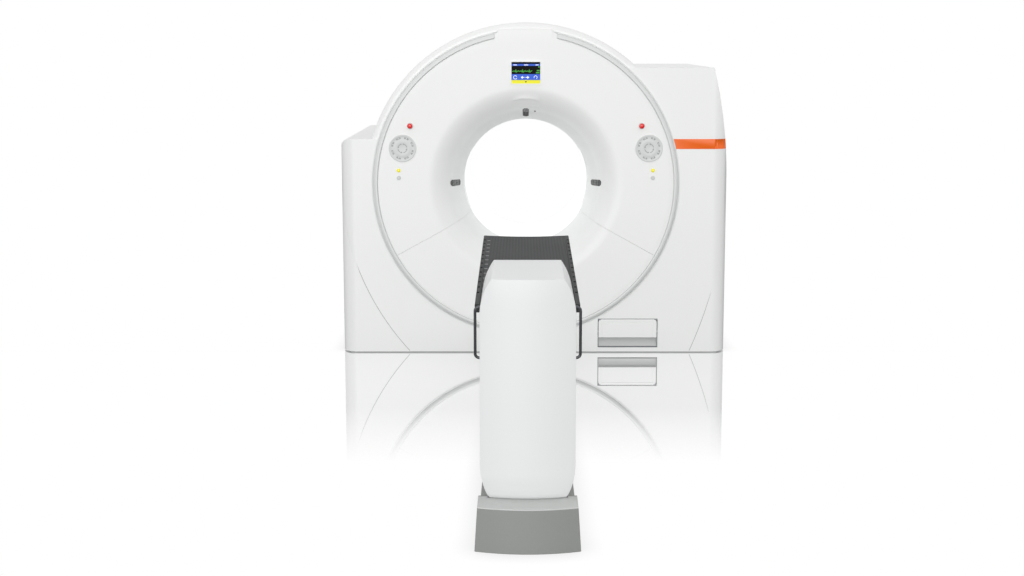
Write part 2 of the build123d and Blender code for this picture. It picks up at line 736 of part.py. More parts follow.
# Table base: tapered channel with a bulged nose, standing on the floor
base_back_y = front_y - dock_gap
channel_front_y = tower_y + foot_tuck
base_plan_front = ThreePointArc(
    (-base_half_foot, nose_y + base_bulge), (0, nose_y), (base_half_foot, nose_y + base_bulge))
base_plan = make_face([
    base_plan_front,
    Line((base_half_foot, nose_y + base_bulge), (base_half_foot, base_back_y)),
    Line((base_half_foot, base_back_y), (-base_half_foot, base_back_y)),
    Line((-base_half_foot, base_back_y), (-base_half_foot, nose_y + base_bulge)),
])
base_section = polygon(
    (-base_half_foot, 0), (base_half_foot, 0), (base_half_top, base_height), (-base_half_top, base_height))
table_base = slab(base_section, nose_y, base_back_y) & extrude(base_plan, amount=base_height)
table_base -= block(-channel_half, channel_half, channel_front_y, base_back_y - channel_end_wall,
                    channel_floor, base_height + overrun)
nose_zone = block(-base_half_foot, base_half_foot, nose_y, nose_y + nose_plate_depth,
                  base_height - nose_plate_thickness, base_height + overrun)
parts["nose_plate"] = table_base & nose_zone
dock_tongue = block(-dock_half, dock_half, base_back_y, panel_y, dock_low, dock_high)
parts["table_base"] = table_base - nose_zone + dock_tongue

# Guides and motor track in the channel, and the carriage that runs on them
guide_front_y = channel_front_y
guide_back_y = base_back_y - channel_end_wall


def guides(growth, y_low, y_high):
    """The pair of guide rails, grown on all sides for the carriage's grooves."""
    half = guide_width / 2 + growth
    return [block(side * rail_half_gap - half, side * rail_half_gap + half, y_low, y_high,
                  channel_floor, channel_floor + guide_height + growth) for side in (-1, 1)]


parts["linear_rails"] = Compound(children=guides(0, guide_front_y, guide_back_y))
parts["motor_track"] = block(-track_half, track_half, guide_front_y, guide_back_y,
                             channel_floor, channel_floor + track_height)
carriage_y = channel_front_y + run_gap
carriage_back_y = carriage_y + carriage_length
carriage = block(-carriage_half, carriage_half, carriage_y, carriage_back_y, carriage_low, tower_low)
for groove in guides(run_gap / 2, carriage_y - overrun, carriage_back_y + overrun):
    carriage -= groove
carriage -= block(-track_half - run_gap, track_half + run_gap, carriage_y - overrun,
                  carriage_back_y + overrun, channel_floor, channel_floor + track_height + drive_air_gap)
parts["carriage"] = carriage


def tower_outline(inset):
    """Front view of the tower: drawn-in foot, upright sides and curved shoulders."""
    foot, half, top_half = tower_foot_half - inset, tower_half - inset, tower_top_half - inset
    low, top = tower_low + inset, tower_top - inset
    hip, shoulder = tower_low + tower_foot_rise, tower_top - shoulder_rise
    bow = 1 / math.sqrt(2)
    right = [
        Line((0, low), (foot, low)),
        ThreePointArc((foot, low), (foot + (half - foot) * bow, hip - (hip - low) * bow), (half, hip)),
        Line((half, hip), (half, shoulder)),
        ThreePointArc((half, shoulder), (top_half + (half - top_half) * bow, shoulder + (top - shoulder) * bow),
                      (top_half, top)),
        Line((top_half, top), (0, top)),
    ]
    left = [mirror(edge, about=Plane.YZ) for edge in right]
    return make_face([*right, *left])


def tower_profile(inset):
    """Side view of the tower, whose front curves under at the foot."""
    front, low, top = tower_y + inset, tower_low + inset, tower_top - inset
    tuck, rise = foot_tuck, tower_low + foot_tuck_rise
    bow = 1 / math.sqrt(2)
    return make_face([
        Line((front, top), (front, rise)),
        ThreePointArc((front, rise), (front + tuck * (1 - bow), rise - (rise - low) * bow), (front + tuck, low)),
        Line((front + tuck, low), (tower_back_y, low)),
        Line((tower_back_y, low), (tower_back_y, top)),
        Line((tower_back_y, top), (front, top)),
    ])


def tower_solid(inset, back_y):
    """Tower body, inset on all sides, up to a given rear plane."""
    return slab(tower_outline(inset), tower_y, back_y) & side_slab(
        tower_profile(inset), -tower_half, tower_half)


# Handles: slim loops let into the sides of the tower
handle_y = tower_y + handle_set_back
handle_root = tower_half - tower_wall / 2
handle_x = tower_half + handle_stand_off
handle_path = FilletPolyline(
    (handle_root, handle_y, handle_high), (handle_x, handle_y, handle_high),
    (handle_x, handle_y, handle_low), (handle_root, handle_y, handle_low), radius=handle_bend)
handle_section = Plane(origin=handle_path @ 0, z_dir=handle_path % 0) * Circle(handle_radius)
handle = sweep(handle_section, handle_path)
handles = both_sides(handle)
parts["handles"] = Compound(children=[*handles])

# Tower shell, open behind, and the rear cover with the slot for the lift arm
rear_cover_y = tower_back_y - tower_wall
tower = tower_solid(0, rear_cover_y) - tower_solid(tower_wall, rear_cover_y + overrun)
mast_foot = block(-bracket_half, bracket_half, mast_y - run_gap, screw_y + screw_radius + screw_clear,
                  tower_low - overrun, tower_low + 2 * tower_wall)
parts["tower_shell"] = tower - mast_foot - handles[0] - handles[1]
slot_low = arm_low - lift_down - slot_margin
slot_high = arm_high + lift_up + slot_margin
rear_cover = slab(tower_outline(0), rear_cover_y, tower_back_y)
parts["tower_rear_cover"] = rear_cover - block(
    -slot_half, slot_half, rear_cover_y - overrun, tower_back_y + overrun, slot_low, slot_high)

# Mast and fixed lift screw on the carriage
mast_top = tower_top - mast_top_gap
parts["mast"] = block(-mast_half, mast_half, mast_y, mast_y + mast_depth, tower_low, mast_top)
parts["lift_screw"] = Pos(0, screw_y, (tower_low + mast_top) / 2) * Cylinder(screw_radius, mast_top - tower_low)

# Lift bracket: jaws round the mast, a bore for the screw and an arm through the slot
bracket_back_y = mast_y + mast_depth + bracket_depth
bracket = block(-bracket_half, bracket_half, mast_y, bracket_back_y, bracket_low, bracket_high)
bracket += block(-arm_half, arm_half, bracket_back_y, foot_y, arm_low, arm_high)
bracket -= block(-mast_half - run_gap / 2, mast_half + run_gap / 2, mast_y - overrun,
                 mast_y + mast_depth + run_gap / 2, bracket_low - overrun, bracket_high + overrun)
screw_bore = Pos(0, screw_y, (bracket_low + bracket_high) / 2) * Cylinder(
    screw_radius + run_gap / 2, bracket_high - bracket_low + 2 * overrun)
parts["lift_bracket"] = bracket - screw_bore

# Pallet: thin cradle, a little wider at its head, between two side rails
foot_side = (pallet_foot_half, foot_y)
head_side = (pallet_head_half, head_y)


def tray_arc(half, edge_z):
    """Cradle curve between two edges at the same height."""
    return ThreePointArc((-half, edge_z), (0, edge_z - pallet_dip), (half, edge_z))


tray_half = pallet_head_half + overrun
tray_section = make_face([
    tray_arc(tray_half, pallet_top),
    Line((tray_half, pallet_top), (tray_half, pallet_top - pallet_thickness)),
    tray_arc(tray_half, pallet_top - pallet_thickness),
    Line((-tray_half, pallet_top - pallet_thickness), (-tray_half, pallet_top)),
])
tray_plan = polygon((-pallet_foot_half, foot_y), foot_side, head_side, (-pallet_head_half, head_y))
tray = slab(tray_section, foot_y, head_y) & extrude(tray_plan, amount=pallet_top + overrun)
parts["pallet"] = tray

# Pallet frame: two beams with cross pieces, carried by the lift arm and cut to seat the pallet
beam_end_y = foot_y + beam_share * (head_y - foot_y)
beam_top = arm_high + beam_rise
pallet_frame = [
    block(side * beam_half_gap - beam_width / 2, side * beam_half_gap + beam_width / 2,
          foot_y, beam_end_y, arm_low, beam_top) for side in (-1, 1)]
cross_pitch = (beam_end_y - foot_y - cross_length) / (cross_count - 1)
cross_half = beam_half_gap - beam_width / 2
for step in range(cross_count):
    cross_y = foot_y + step * cross_pitch
    pallet_frame.append(block(-cross_half, cross_half, cross_y, cross_y + cross_length, arm_low, arm_high))
parts["pallet_frame"] = pallet_frame[0].fuse(*pallet_frame[1:]) - tray

# Side rails along the pallet, reaching past the rear of the tower
rail_foot_y = tower_back_y - side_rail_overhang
taper_share = (pallet_head_half - pallet_foot_half) / (head_y - foot_y)
rail_foot_half = pallet_foot_half - taper_share * (foot_y - rail_foot_y)
side_rail_plan = polygon(
    (rail_foot_half, rail_foot_y), (rail_foot_half + side_rail_width, rail_foot_y),
    (pallet_head_half + side_rail_width, head_y), head_side)
side_rail = extrude(Pos(0, 0, pallet_top - side_rail_height) * side_rail_plan, amount=side_rail_height)
parts["side_rails"] = Compound(children=[*both_sides(side_rail)])

for name, shape in parts.items():
    shape.label = name
    export_step(shape, os.path.join("parts", name + ".step"))
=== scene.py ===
"""Looks of a hospital ring scanner: white moulded covers, ring controls and a patient table on a floor base.

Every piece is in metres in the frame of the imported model: +Z up, front towards -Y, origin on the floor.
"""

import logging
import math
from collections.abc import Callable
from dataclasses import dataclass
from enum import Enum

import bpy
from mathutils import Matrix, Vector


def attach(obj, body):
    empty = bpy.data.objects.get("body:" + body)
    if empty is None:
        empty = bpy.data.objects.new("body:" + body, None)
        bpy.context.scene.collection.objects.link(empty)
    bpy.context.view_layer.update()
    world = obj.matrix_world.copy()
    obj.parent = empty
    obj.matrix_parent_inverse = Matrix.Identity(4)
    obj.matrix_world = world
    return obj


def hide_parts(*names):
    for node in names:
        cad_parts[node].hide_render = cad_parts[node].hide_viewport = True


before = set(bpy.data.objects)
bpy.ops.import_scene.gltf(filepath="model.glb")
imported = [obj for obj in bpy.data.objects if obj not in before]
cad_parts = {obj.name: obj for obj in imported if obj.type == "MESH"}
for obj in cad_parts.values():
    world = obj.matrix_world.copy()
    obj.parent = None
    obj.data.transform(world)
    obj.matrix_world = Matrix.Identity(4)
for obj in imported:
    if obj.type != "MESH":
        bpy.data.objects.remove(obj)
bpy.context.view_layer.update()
LOG = logging.getLogger("ring_scanner")
Point = tuple[float, float]
Place = tuple[float, float, float]
MM = 0.001
ISO_Z = 1.054  # height of the bore's axis
FACE_Y = -0.672  # flat face of the ring
PANEL_Y = -0.660  # front of the panels beside the ring
FULL_TURN = 360
MERGE = 1e-6  # points closer than this become one
SKIN_MERGE = 2e-5  # the same for the triangles of a solid's mesh
FLAT_ANGLE = 0.6  # faces of a solid that differ by less, in degrees, are joined
FACING = 0.9  # share of a face's normal along a direction from which it counts as facing it
TONE_RANGE = (0.6, 1.4)  # sum of fine and broad pattern that spans a finish's tones
BROAD_MM = 400.0  # width of the broad tone changes of a sprayed or moulded surface, drawn so that they show
ROUGH_SWING = 0.08  # share by which the roughness varies with the tones
BRUSH_DRAW = 0.04  # width of a brush stroke as a share of its length
WAVE_BANDS = 6.3  # bands per metre of a wave texture at scale 1


# Finishes


def linear(code: str) -> tuple[float, float, float, float]:
    """Turn an sRGB hex colour into linear RGBA.

    Args:
        code: six hex digits, red first.

    Returns:
        The colour as Blender's shaders want it.
    """
    parts = [int(code[i:i + 2], 16) / 255 for i in (0, 2, 4)]
    light = [c / 12.92 if c <= 0.04045 else ((c + 0.055) / 1.055) ** 2.4 for c in parts]
    return (*light, 1.0)


def add_node(tree: bpy.types.NodeTree, kind: str, inputs: dict | None = None, **settings) -> bpy.types.Node:
    """Add a node, set its properties and fill or link its inputs.

    Args:
        tree: the node tree that gets the node.
        kind: the node's Blender type.
        inputs: socket name or index to a value, or to the socket that feeds it.
        settings: properties of the node itself.

    Returns:
        The new node.
    """
    node = tree.nodes.new(kind)
    for name, value in settings.items():
        setattr(node, name, value)
    for name, value in (inputs or {}).items():
        if isinstance(value, bpy.types.NodeSocket):
            tree.links.new(value, node.inputs[name])
        else:
            node.inputs[name].default_value = value
    return node


class Grain(Enum):
    """How a surface was made, which sets its fine pattern."""

    MOULDED = "moulded"
    BRUSHED = "brushed"
    CAST = "cast"
    WOVEN = "woven"


@dataclass(frozen=True)
class Finish:
    """One material: what it is, its colour and its fine surface."""

    name: str
    code: str
    roughness: float
    grain: Grain = Grain.MOULDED
    grain_mm: float = 3.0
    relief_mm: float = 0.02
    metallic: float = 0.0
    ior: float = 1.5
    coat: float = 0.0
    shade: float = 0.03
    glow: float = 0.0

    def material(self) -> bpy.types.Material:
        """Return the Blender material, made on its first use."""
        found = bpy.data.materials.get(self.name)
        return found if found else self._make()

    def _pattern(self, tree: bpy.types.NodeTree) -> bpy.types.NodeSocket:
        """Add the fine pattern of this grain.

        Args:
            tree: the material's nodes.

        Returns:
            A socket that varies from 0 to 1 over the surface.
        """
        place = add_node(tree, "ShaderNodeTexCoord").outputs["Object"]
        scale = 1.0 / (self.grain_mm * MM)
        if self.grain is Grain.BRUSHED:
            drawn = add_node(tree, "ShaderNodeMapping", {"Vector": place, "Scale": (1.0, 1.0, BRUSH_DRAW)})
            return add_node(tree, "ShaderNodeTexNoise", {"Vector": drawn.outputs[0], "Scale": scale}).outputs[0]
        if self.grain is Grain.WOVEN:
            warp, weft = (add_node(tree, "ShaderNodeTexWave", {"Vector": place, "Scale": scale / WAVE_BANDS},
                                   bands_direction=way).outputs[1] for way in ("X", "Y"))
            return add_node(tree, "ShaderNodeMath", {0: warp, 1: weft}, operation="MULTIPLY").outputs[0]
        detail = 6.0 if self.grain is Grain.CAST else 2.0
        return add_node(tree, "ShaderNodeTexNoise",
                        {"Vector": place, "Scale": scale, "Detail": detail}).outputs[0]

    def _make(self) -> bpy.types.Material:
        """Build the material's nodes.

        Returns:
            The new material.
        """
        made = bpy.data.materials.new(self.name)
        made.use_nodes = True
        tree = made.node_tree
        shader = tree.nodes["Principled BSDF"]
        shader.inputs["Metallic"].default_value = self.metallic
        if not self.metallic:
            shader.inputs["IOR"].default_value = self.ior
        shader.inputs["Coat Weight"].default_value = self.coat
        shader.inputs["Coat Roughness"].default_value = 0.08
        pattern = self._pattern(tree)
        place = add_node(tree, "ShaderNodeTexCoord").outputs["Object"]
        broad = add_node(tree, "ShaderNodeTexNoise",
                         {"Vector": place, "Scale": 1.0 / (BROAD_MM * MM), "Detail": 3.0}).outputs[0]
        mixed = add_node(tree, "ShaderNodeMath", {0: pattern, 1: broad}, operation="ADD").outputs[0]
        spread = {"Value": mixed, "From Min": TONE_RANGE[0], "From Max": TONE_RANGE[1]}
        base = linear(self.code)
        dark = tuple(c * (1.0 - self.shade) for c in base[:3]) + (1.0,)
        tone = add_node(tree, "ShaderNodeMapRange", spread).outputs[0]
        colour = add_node(tree, "ShaderNodeMix", {"Factor": tone, "A": dark, "B": base}, data_type="RGBA")
        tree.links.new(colour.outputs["Result"], shader.inputs["Base Color"])
        rough = add_node(tree, "ShaderNodeMapRange", spread | {
            "To Min": self.roughness * (1 - ROUGH_SWING),
            "To Max": self.roughness * (1 + ROUGH_SWING)}).outputs[0]
        tree.links.new(rough, shader.inputs["Roughness"])
        bump = add_node(tree, "ShaderNodeBump",
                        {"Height": pattern, "Distance": self.relief_mm * MM, "Strength": 0.6})
        tree.links.new(bump.outputs[0], shader.inputs["Normal"])
        # The glow is the own light of the display and the lamps; on the bore's liner and scan window it is
        # painted light
        if self.glow:
            shader.inputs["Emission Color"].default_value = base
            shader.inputs["Emission Strength"].default_value = self.glow
        return made


# Sprayed enamel over glass-fibre covers: clean satin white, its faint orange peel drawn at 6 mm to show
COVER = Finish("sprayed_enamel_cover", "EDEEED", 0.36, grain_mm=6.0, relief_mm=0.015, shade=0.015)
# Moulded ABS of the tower: the covers' white with a slightly duller gloss
TOWER = Finish("moulded_abs_tower", "EDEEEE", 0.38, grain_mm=6.0, relief_mm=0.015, shade=0.015)
# Moulded ABS trim: pale grey and a touch glossier, so that the ring's outline reads
TRIM = Finish("moulded_abs_trim", "DDDFDE", 0.32, grain_mm=5.0, relief_mm=0.015, shade=0.02)
# Grey strips in the joints and along the panels' foot: painted shadow lines, soft and without gloss
SEAM_SHADOW = Finish("painted_joint_shadow", "B4B6B5", 0.7, grain_mm=2.0)
# Moulded bore liner: the brightest white, lifted by a painted glow that lightens the shade inside the bore
LINER_GLOW = Finish("bore_liner_painted_glow", "F6F7F7", 0.4, grain_mm=6.0, relief_mm=0.02, glow=0.4)
# Polyester film over the scan window: bright white with a thin sheen, and the same painted glow against the
# bore's shade
WINDOW_FILM_GLOW = Finish("scan_window_painted_glow", "F0F2F2", 0.3, grain_mm=8.0, coat=0.3, glow=0.4)
# Vinyl accent film: one flat, strong orange with a satin face
ORANGE = Finish("vinyl_accent_film", "F56A0C", 0.4, grain_mm=4.0, shade=0.03)
# Moulded button: deep signal red under a clear gloss
STOP_RED = Finish("moulded_red_button", "E3120E", 0.3, grain_mm=1.5, coat=0.4)
# Moulded lens: clear yellow that looks a little lit from within
LAMP_YELLOW = Finish("moulded_yellow_lens", "EDE224", 0.25, grain_mm=1.5, coat=0.5, glow=0.15)
# Dark print: a flat olive mark on the lit yellow
MARK_DARK = Finish("printed_dark_mark", "4A4A22", 0.5, grain_mm=1.0)
# Membrane foil: light grey and matt, with a fine emboss
KEYPAD = Finish("membrane_keypad_foil", "D6D8D7", 0.45, grain_mm=1.5, relief_mm=0.03)
# Print on the foil: flat mid grey keys and arrows
KEY_MARK = Finish("printed_key_mark", "A2A5A4", 0.5, grain_mm=1.0)
# Print on the foil: near white symbols on the grey keys
KEY_LIGHT = Finish("printed_key_highlight", "F2F3F3", 0.5, grain_mm=1.0)
# Moulded button and collar: light grey satin, darker than the cover round it
BUTTON = Finish("moulded_grey_button", "D2D4D4", 0.4, grain_mm=1.5)
# Smoked acrylic: near black with a clear gloss
LASER = Finish("smoked_acrylic_window", "1C1D1C", 0.12, grain_mm=2.0, coat=0.6)
# Moulded ribs: dark grey satin lines over the glossy acrylic
LASER_RIB = Finish("moulded_black_rib", "3A3B39", 0.35, grain_mm=1.5)
# Cover glass: near black, its reflection held low so that the lit shapes read
GLASS = Finish("display_cover_glass", "14130F", 0.5, grain_mm=8.0, ior=1.15)
# Lit picture of the display: flat, clear colours with a faint glow
SCREEN_BLUE = Finish("display_lit_blue", "1B57D2", 0.5, grain_mm=0.8, glow=0.12)
SCREEN_GREEN = Finish("display_lit_green", "2F9A22", 0.5, grain_mm=0.8, glow=0.2)
SCREEN_YELLOW = Finish("display_lit_yellow", "EDE81A", 0.5, grain_mm=0.8, glow=0.08)
SCREEN_WHITE = Finish("display_lit_white", "F4F8FF", 0.5, grain_mm=0.8, glow=0.2)
# Moulded grip cup: mid grey in place of the covers' white, painted shade so that it reads as a hollow; matt with
# a fine texture
GRIP_SHADE = Finish("grip_cup_painted_shade", "C2C4C3", 0.5, grain_mm=2.0, relief_mm=0.05)
# Woven carbon in matt resin: a dark, even sheet; the weave is drawn at 8 mm so that it shows
PALLET = Finish("woven_carbon_pallet", "2C2D2E", 0.6, Grain.WOVEN, 8.0, 0.004, shade=0.02, ior=1.3)
# Anodised aluminium: dark and dull beside the pallet, with a faint grain
RAIL = Finish("anodised_dark_rail", "2A2B2B", 0.55, Grain.BRUSHED, 3.0, 0.02, ior=1.3)
# Moulded plugs: the darkest spots on the rails, without gloss
BLACK = Finish("moulded_black_plug", "0B0C0C", 0.75, grain_mm=1.5, ior=1.1)
# Print on the pallet: short light grey ticks
PALE_MARK = Finish("printed_pale_mark", "9FA1A2", 0.5, grain_mm=1.0)
# Satin steel of the handles: dark metal with soft upright streaks
STEEL_DARK = Finish("dark_satin_steel", "5A5B5E", 0.28, Grain.BRUSHED, 2.0, 0.01, metallic=1.0)
# Powder coat of the base: mid grey with a fine pebble, drawn at 4 mm so that it shows
BASE = Finish("powder_coated_base", "969895", 0.42, Grain.CAST, 4.0, 0.04, shade=0.05)
# Satin coat of the nose ledge: pale grey and smoother than the base below it
LEDGE = Finish("satin_coated_ledge", "CED0CE", 0.4, Grain.CAST, 4.0, 0.02)
# Ground steel of guides and bearings: bright metal with fine streaks
STEEL = Finish("ground_guide_steel", "B9BCC0", 0.25, Grain.BRUSHED, 2.0, 0.01, metallic=1.0)
# Milled aluminium: light metal, a little duller than the steel
ALUMINIUM = Finish("milled_aluminium", "B4B7BA", 0.35, Grain.BRUSHED, 3.0, 0.01, metallic=1.0)
# Powder coat of the inner frames: slate grey and pebbled
FRAME_PAINT = Finish("powder_coated_frame", "6F757B", 0.5, Grain.CAST, 4.0, 0.05)
# Painted castings: cool grey over a coarse cast skin
CASTING = Finish("painted_casting", "868B90", 0.5, Grain.CAST, 6.0, 0.08)
# Potted windings: near black resin with an uneven face
WINDING = Finish("potted_winding", "2B2D31", 0.45, Grain.CAST, 5.0, 0.05)
# Painted housings: light grey and almost smooth
UNIT = Finish("painted_unit_housing", "9A9FA3", 0.45, Grain.CAST, 4.0, 0.03)
# Turned copper: warm, bright metal with fine lines
COPPER = Finish("turned_copper", "C08457", 0.25, Grain.BRUSHED, 2.0, 0.01, metallic=1.0)
# Cast iron: dark with a rough skin
CASTING_DARK = Finish("cast_balance_iron", "3F4347", 0.55, Grain.CAST, 6.0, 0.08)
# Moulded rubber: black and dead matt
RUBBER = Finish("moulded_rubber_foot", "1A1A1B", 0.8, Grain.CAST, 2.0, 0.05)


# Modelling helpers


class Pick(Enum):
    """What is picked in edit mode."""

    POINTS = "VERT"
    EDGES = "EDGE"
    FACES = "FACE"


class Side(Enum):
    """Side of the object seen from its front, with the sign of its X."""

    LEFT = -1
    RIGHT = 1


def start_clean() -> None:
    """Leave edit mode and deselect everything."""
    if bpy.context.object and bpy.context.object.mode != "OBJECT":
        bpy.ops.object.mode_set(mode="OBJECT")
    bpy.ops.object.select_all(action="DESELECT")


def activate(piece: bpy.types.Object) -> None:
    """Make a piece the active object and the only selected one."""
    start_clean()
    piece.select_set(True)
    bpy.context.view_layer.objects.active = piece


def open_edit(piece: bpy.types.Object, pick: Pick = Pick.POINTS) -> None:
    """Make a piece active and open it in edit mode with all of it selected.

    Args:
        piece: the object to edit.
        pick: what is picked in it.
    """
    activate(piece)
    bpy.ops.object.mode_set(mode="EDIT")
    bpy.ops.mesh.select_mode(type=pick.value)
    bpy.ops.mesh.select_all(action="SELECT")


def close_edit() -> None:
    """Return to object mode."""
    bpy.ops.object.mode_set(mode="OBJECT")


def loop_of(name: str, points: list[Vector]) -> bpy.types.Object:
    """Closed loop of edges through the points, shaped from a circle.

    Args:
        name: the new piece's name.
        points: corners in order.

    Returns:
        The new object, at the origin.
    """
    start_clean()
    bpy.ops.mesh.primitive_circle_add(vertices=len(points), radius=1.0, fill_type="NOTHING")
    piece = bpy.context.object
    piece.name = piece.data.name = name
    for vertex, point in zip(piece.data.vertices, points):
        vertex.co = point
    return piece


def tidy_mesh(piece: bpy.types.Object) -> None:
    """Merge doubles and point all faces outwards.

    Args:
        piece: the object.
    """
    open_edit(piece)
    bpy.ops.mesh.remove_doubles(threshold=MERGE)
    bpy.ops.mesh.normals_make_consistent(inside=False)
    close_edit()


def soften(piece: bpy.types.Object, width: float, segments: int = 3, angle: float = 35.0) -> None:
    """Round the sharp edges of a piece and smooth the rest.

    Args:
        piece: the object.
        width: size of the rounding.
        segments: faces across it.
        angle: edges sharper than this, in degrees, are rounded.
    """
    activate(piece)
    bevel = piece.modifiers.new("rounded_edges", "BEVEL")
    bevel.width = width
    bevel.segments = segments
    bevel.limit_method = "ANGLE"
    bevel.angle_limit = math.radians(angle)
    bevel.use_clamp_overlap = True
    bpy.ops.object.modifier_apply(modifier=bevel.name)
    bpy.ops.object.shade_smooth_by_angle(angle=math.radians(angle))
    normals = piece.modifiers.new("even_normals", "WEIGHTED_NORMAL")
    normals.keep_sharp = True
    bpy.ops.object.modifier_apply(modifier=normals.name)


def smooth(piece: bpy.types.Object, angle: float = 40.0) -> None:
    """Smooth a piece, but keep edges sharper than an angle in degrees crisp."""
    activate(piece)
    bpy.ops.object.shade_smooth_by_angle(angle=math.radians(angle))


def pick_faces(piece: bpy.types.Object, wanted: Callable[[bpy.types.MeshPolygon], bool]) -> None:
    """Open a piece in edit mode with only the wanted faces selected.

    Args:
        piece: the object to edit.
        wanted: says of a face whether it is picked.
    """
    open_edit(piece, Pick.FACES)
    bpy.ops.mesh.select_all(action="DESELECT")
    close_edit()
    for face in piece.data.polygons:
        face.select = wanted(face)
    bpy.ops.object.mode_set(mode="EDIT")


def faces_front(face: bpy.types.MeshPolygon) -> bool:
    """Say whether a face looks to the front."""
    return face.normal.y < -FACING


def extrude(shift: Place) -> None:
    """Draw the selected faces out by a shift."""
    bpy.ops.mesh.extrude_region_move(TRANSFORM_OT_translate={"value": shift})


def thicken(piece: bpy.types.Object, thickness: float, offset: float) -> None:
    """Turn a sheet into a closed plate.

    Args:
        piece: the sheet.
        thickness: of the plate.
        offset: 1 to grow to the sheet's outer side, -1 to its inner side.
    """
    activate(piece)
    shell = piece.modifiers.new("plate", "SOLIDIFY")
    shell.thickness = thickness
    shell.offset = offset
    bpy.ops.object.modifier_apply(modifier=shell.name)


def flat_grid(name: str, across: int, along: int) -> bpy.types.Object:
    """Flat grid from -1 to 1 both ways, to be laid in place.

    Args:
        name: the new piece's name.
        across: divisions along X.
        along: divisions along Y.

    Returns:
        The new sheet.
    """
    start_clean()
    bpy.ops.mesh.primitive_grid_add(x_subdivisions=across, y_subdivisions=along, size=2.0)
    piece = bpy.context.object
    piece.name = piece.data.name = name
    return piece


def turned(name: str, profile: list[Point], steps: int, start: float = 0.0, sweep: float = FULL_TURN,
           centre: Point = (0.0, ISO_Z)) -> bpy.types.Object:
    """Spin a closed profile about an axis along the depth.

    Args:
        name: the new piece's name.
        profile: corners as radius and depth.
        steps: divisions along the sweep.
        start: first heading in degrees from +X towards +Z.
        sweep: degrees turned, a full ring unless given.
        centre: x and z of the axis, the bore's unless given.

    Returns:
        The new closed piece.
    """
    x, z = centre
    heading = math.radians(start)
    piece = loop_of(name, [Vector((x + r * math.cos(heading), y, z + r * math.sin(heading))) for r, y in profile])
    open_edit(piece)
    bpy.ops.mesh.spin(steps=steps, angle=math.radians(sweep), center=(x, 0, z), axis=(0, 1, 0))
    if sweep < FULL_TURN:
        bpy.ops.mesh.select_all(action="SELECT")
        bpy.ops.mesh.remove_doubles(threshold=MERGE)
        bpy.ops.mesh.select_all(action="DESELECT")
        bpy.ops.mesh.select_non_manifold()
        bpy.ops.mesh.edge_face_add()
    close_edit()
    tidy_mesh(piece)
    return piece


def prism(name: str, corners: list[Vector], shift: Place) -> bpy.types.Object:
    """Fill a loop of corners and draw it out into a block.

    Args:
        name: the new piece's name.
        corners: the loop in order.
        shift: how far and where it is drawn.

    Returns:
        The new closed piece.
    """
    piece = loop_of(name, corners)
    open_edit(piece)
    bpy.ops.mesh.edge_face_add()
    extrude(shift)
    close_edit()
    tidy_mesh(piece)
    return piece


def slab(name: str, outline: list[Point], y_front: float, y_back: float) -> bpy.types.Object:
    """Front-view outline filled and extruded in depth.

    Args:
        name: the new piece's name.
        outline: corners as x and z.
        y_front: front plane.
        y_back: rear plane.

    Returns:
        The new closed piece.
    """
    return prism(name, [Vector((x, y_back, z)) for x, z in outline], (0, y_front - y_back, 0))


def flat_box(name: str, middle: Point, size: Point, low: float, high: float) -> bpy.types.Object:
    """Small upright block from a filled rectangle, drawn up.

    Args:
        name: the new piece's name.
        middle: x and y of its middle.
        size: its length along X and along Y.
        low: underside.
        high: top.

    Returns:
        The new closed piece.
    """
    corners = [Vector((middle[0] + a * size[0] / 2, middle[1] + b * size[1] / 2, low))
               for a, b in ((-1, -1), (1, -1), (1, 1), (-1, 1))]
    return prism(name, corners, (0, 0, high - low))


def evenly(start: float, end: float, steps: int) -> list[float]:
    """Values from start to end in equal steps, both ends among them."""
    return [start + (end - start) * i / steps for i in range(steps + 1)]


def arc(centre: Point, radius: float, start: float, end: float, count: int) -> list[Point]:
    """Points on an arc.

    Args:
        centre: the arc's centre.
        radius: its radius.
        start: first heading in degrees.
        end: last heading in degrees.
        count: number of points.

    Returns:
        The points in order.
    """
    headings = [math.radians(h) for h in evenly(start, end, count - 1)]
    return [(centre[0] + radius * math.cos(h), centre[1] + radius * math.sin(h)) for h in headings]


def rounded_box(centre: Point, width: float, height: float, radius: float) -> list[Point]:
    """Corners of a rectangle with rounded corners, in order.

    Args:
        centre: its middle.
        width: size along X.
        height: size along Z.
        radius: of the corners.

    Returns:
        The points in order.
    """
    x, z = width / 2 - radius, height / 2 - radius
    corners = ((x, z, 0), (-x, z, 90), (-x, -z, 180), (x, -z, 270))
    return [p for dx, dz, turn in corners
            for p in arc((centre[0] + dx, centre[1] + dz), radius, turn, turn + 90, 6)]


def ribbon(points: list[Point], width: float) -> list[Point]:
    """Outline of a thin band along a line of points.

    Args:
        points: the line.
        width: of the band.

    Returns:
        The points in order.
    """
    upper, lower = [], []
    for i, (x, z) in enumerate(points):
        before, after = points[max(i - 1, 0)], points[min(i + 1, len(points) - 1)]
        along = Vector((after[0] - before[0], after[1] - before[1])).normalized()
        upper.append((x - along.y * width / 2, z + along.x * width / 2))
        lower.append((x + along.y * width / 2, z - along.x * width / 2))
    return upper + lower[::-1]


def skin_of(node: str) -> bpy.types.Object:
    """Copy a solid's mesh, merge its loose triangles and join its flat faces.

    Args:
        node: the solid's name.

    Returns:
        The copy, ready to be rounded.
    """
    start_clean()
    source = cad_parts[node]
    piece = bpy.data.objects.new(node + "_skin", source.data.copy())
    bpy.context.scene.collection.objects.link(piece)
    piece.data.materials.clear()
    open_edit(piece)
    bpy.ops.mesh.remove_doubles(threshold=SKIN_MERGE)
    bpy.ops.mesh.dissolve_limited(angle_limit=math.radians(FLAT_ANGLE))
    close_edit()
    return piece


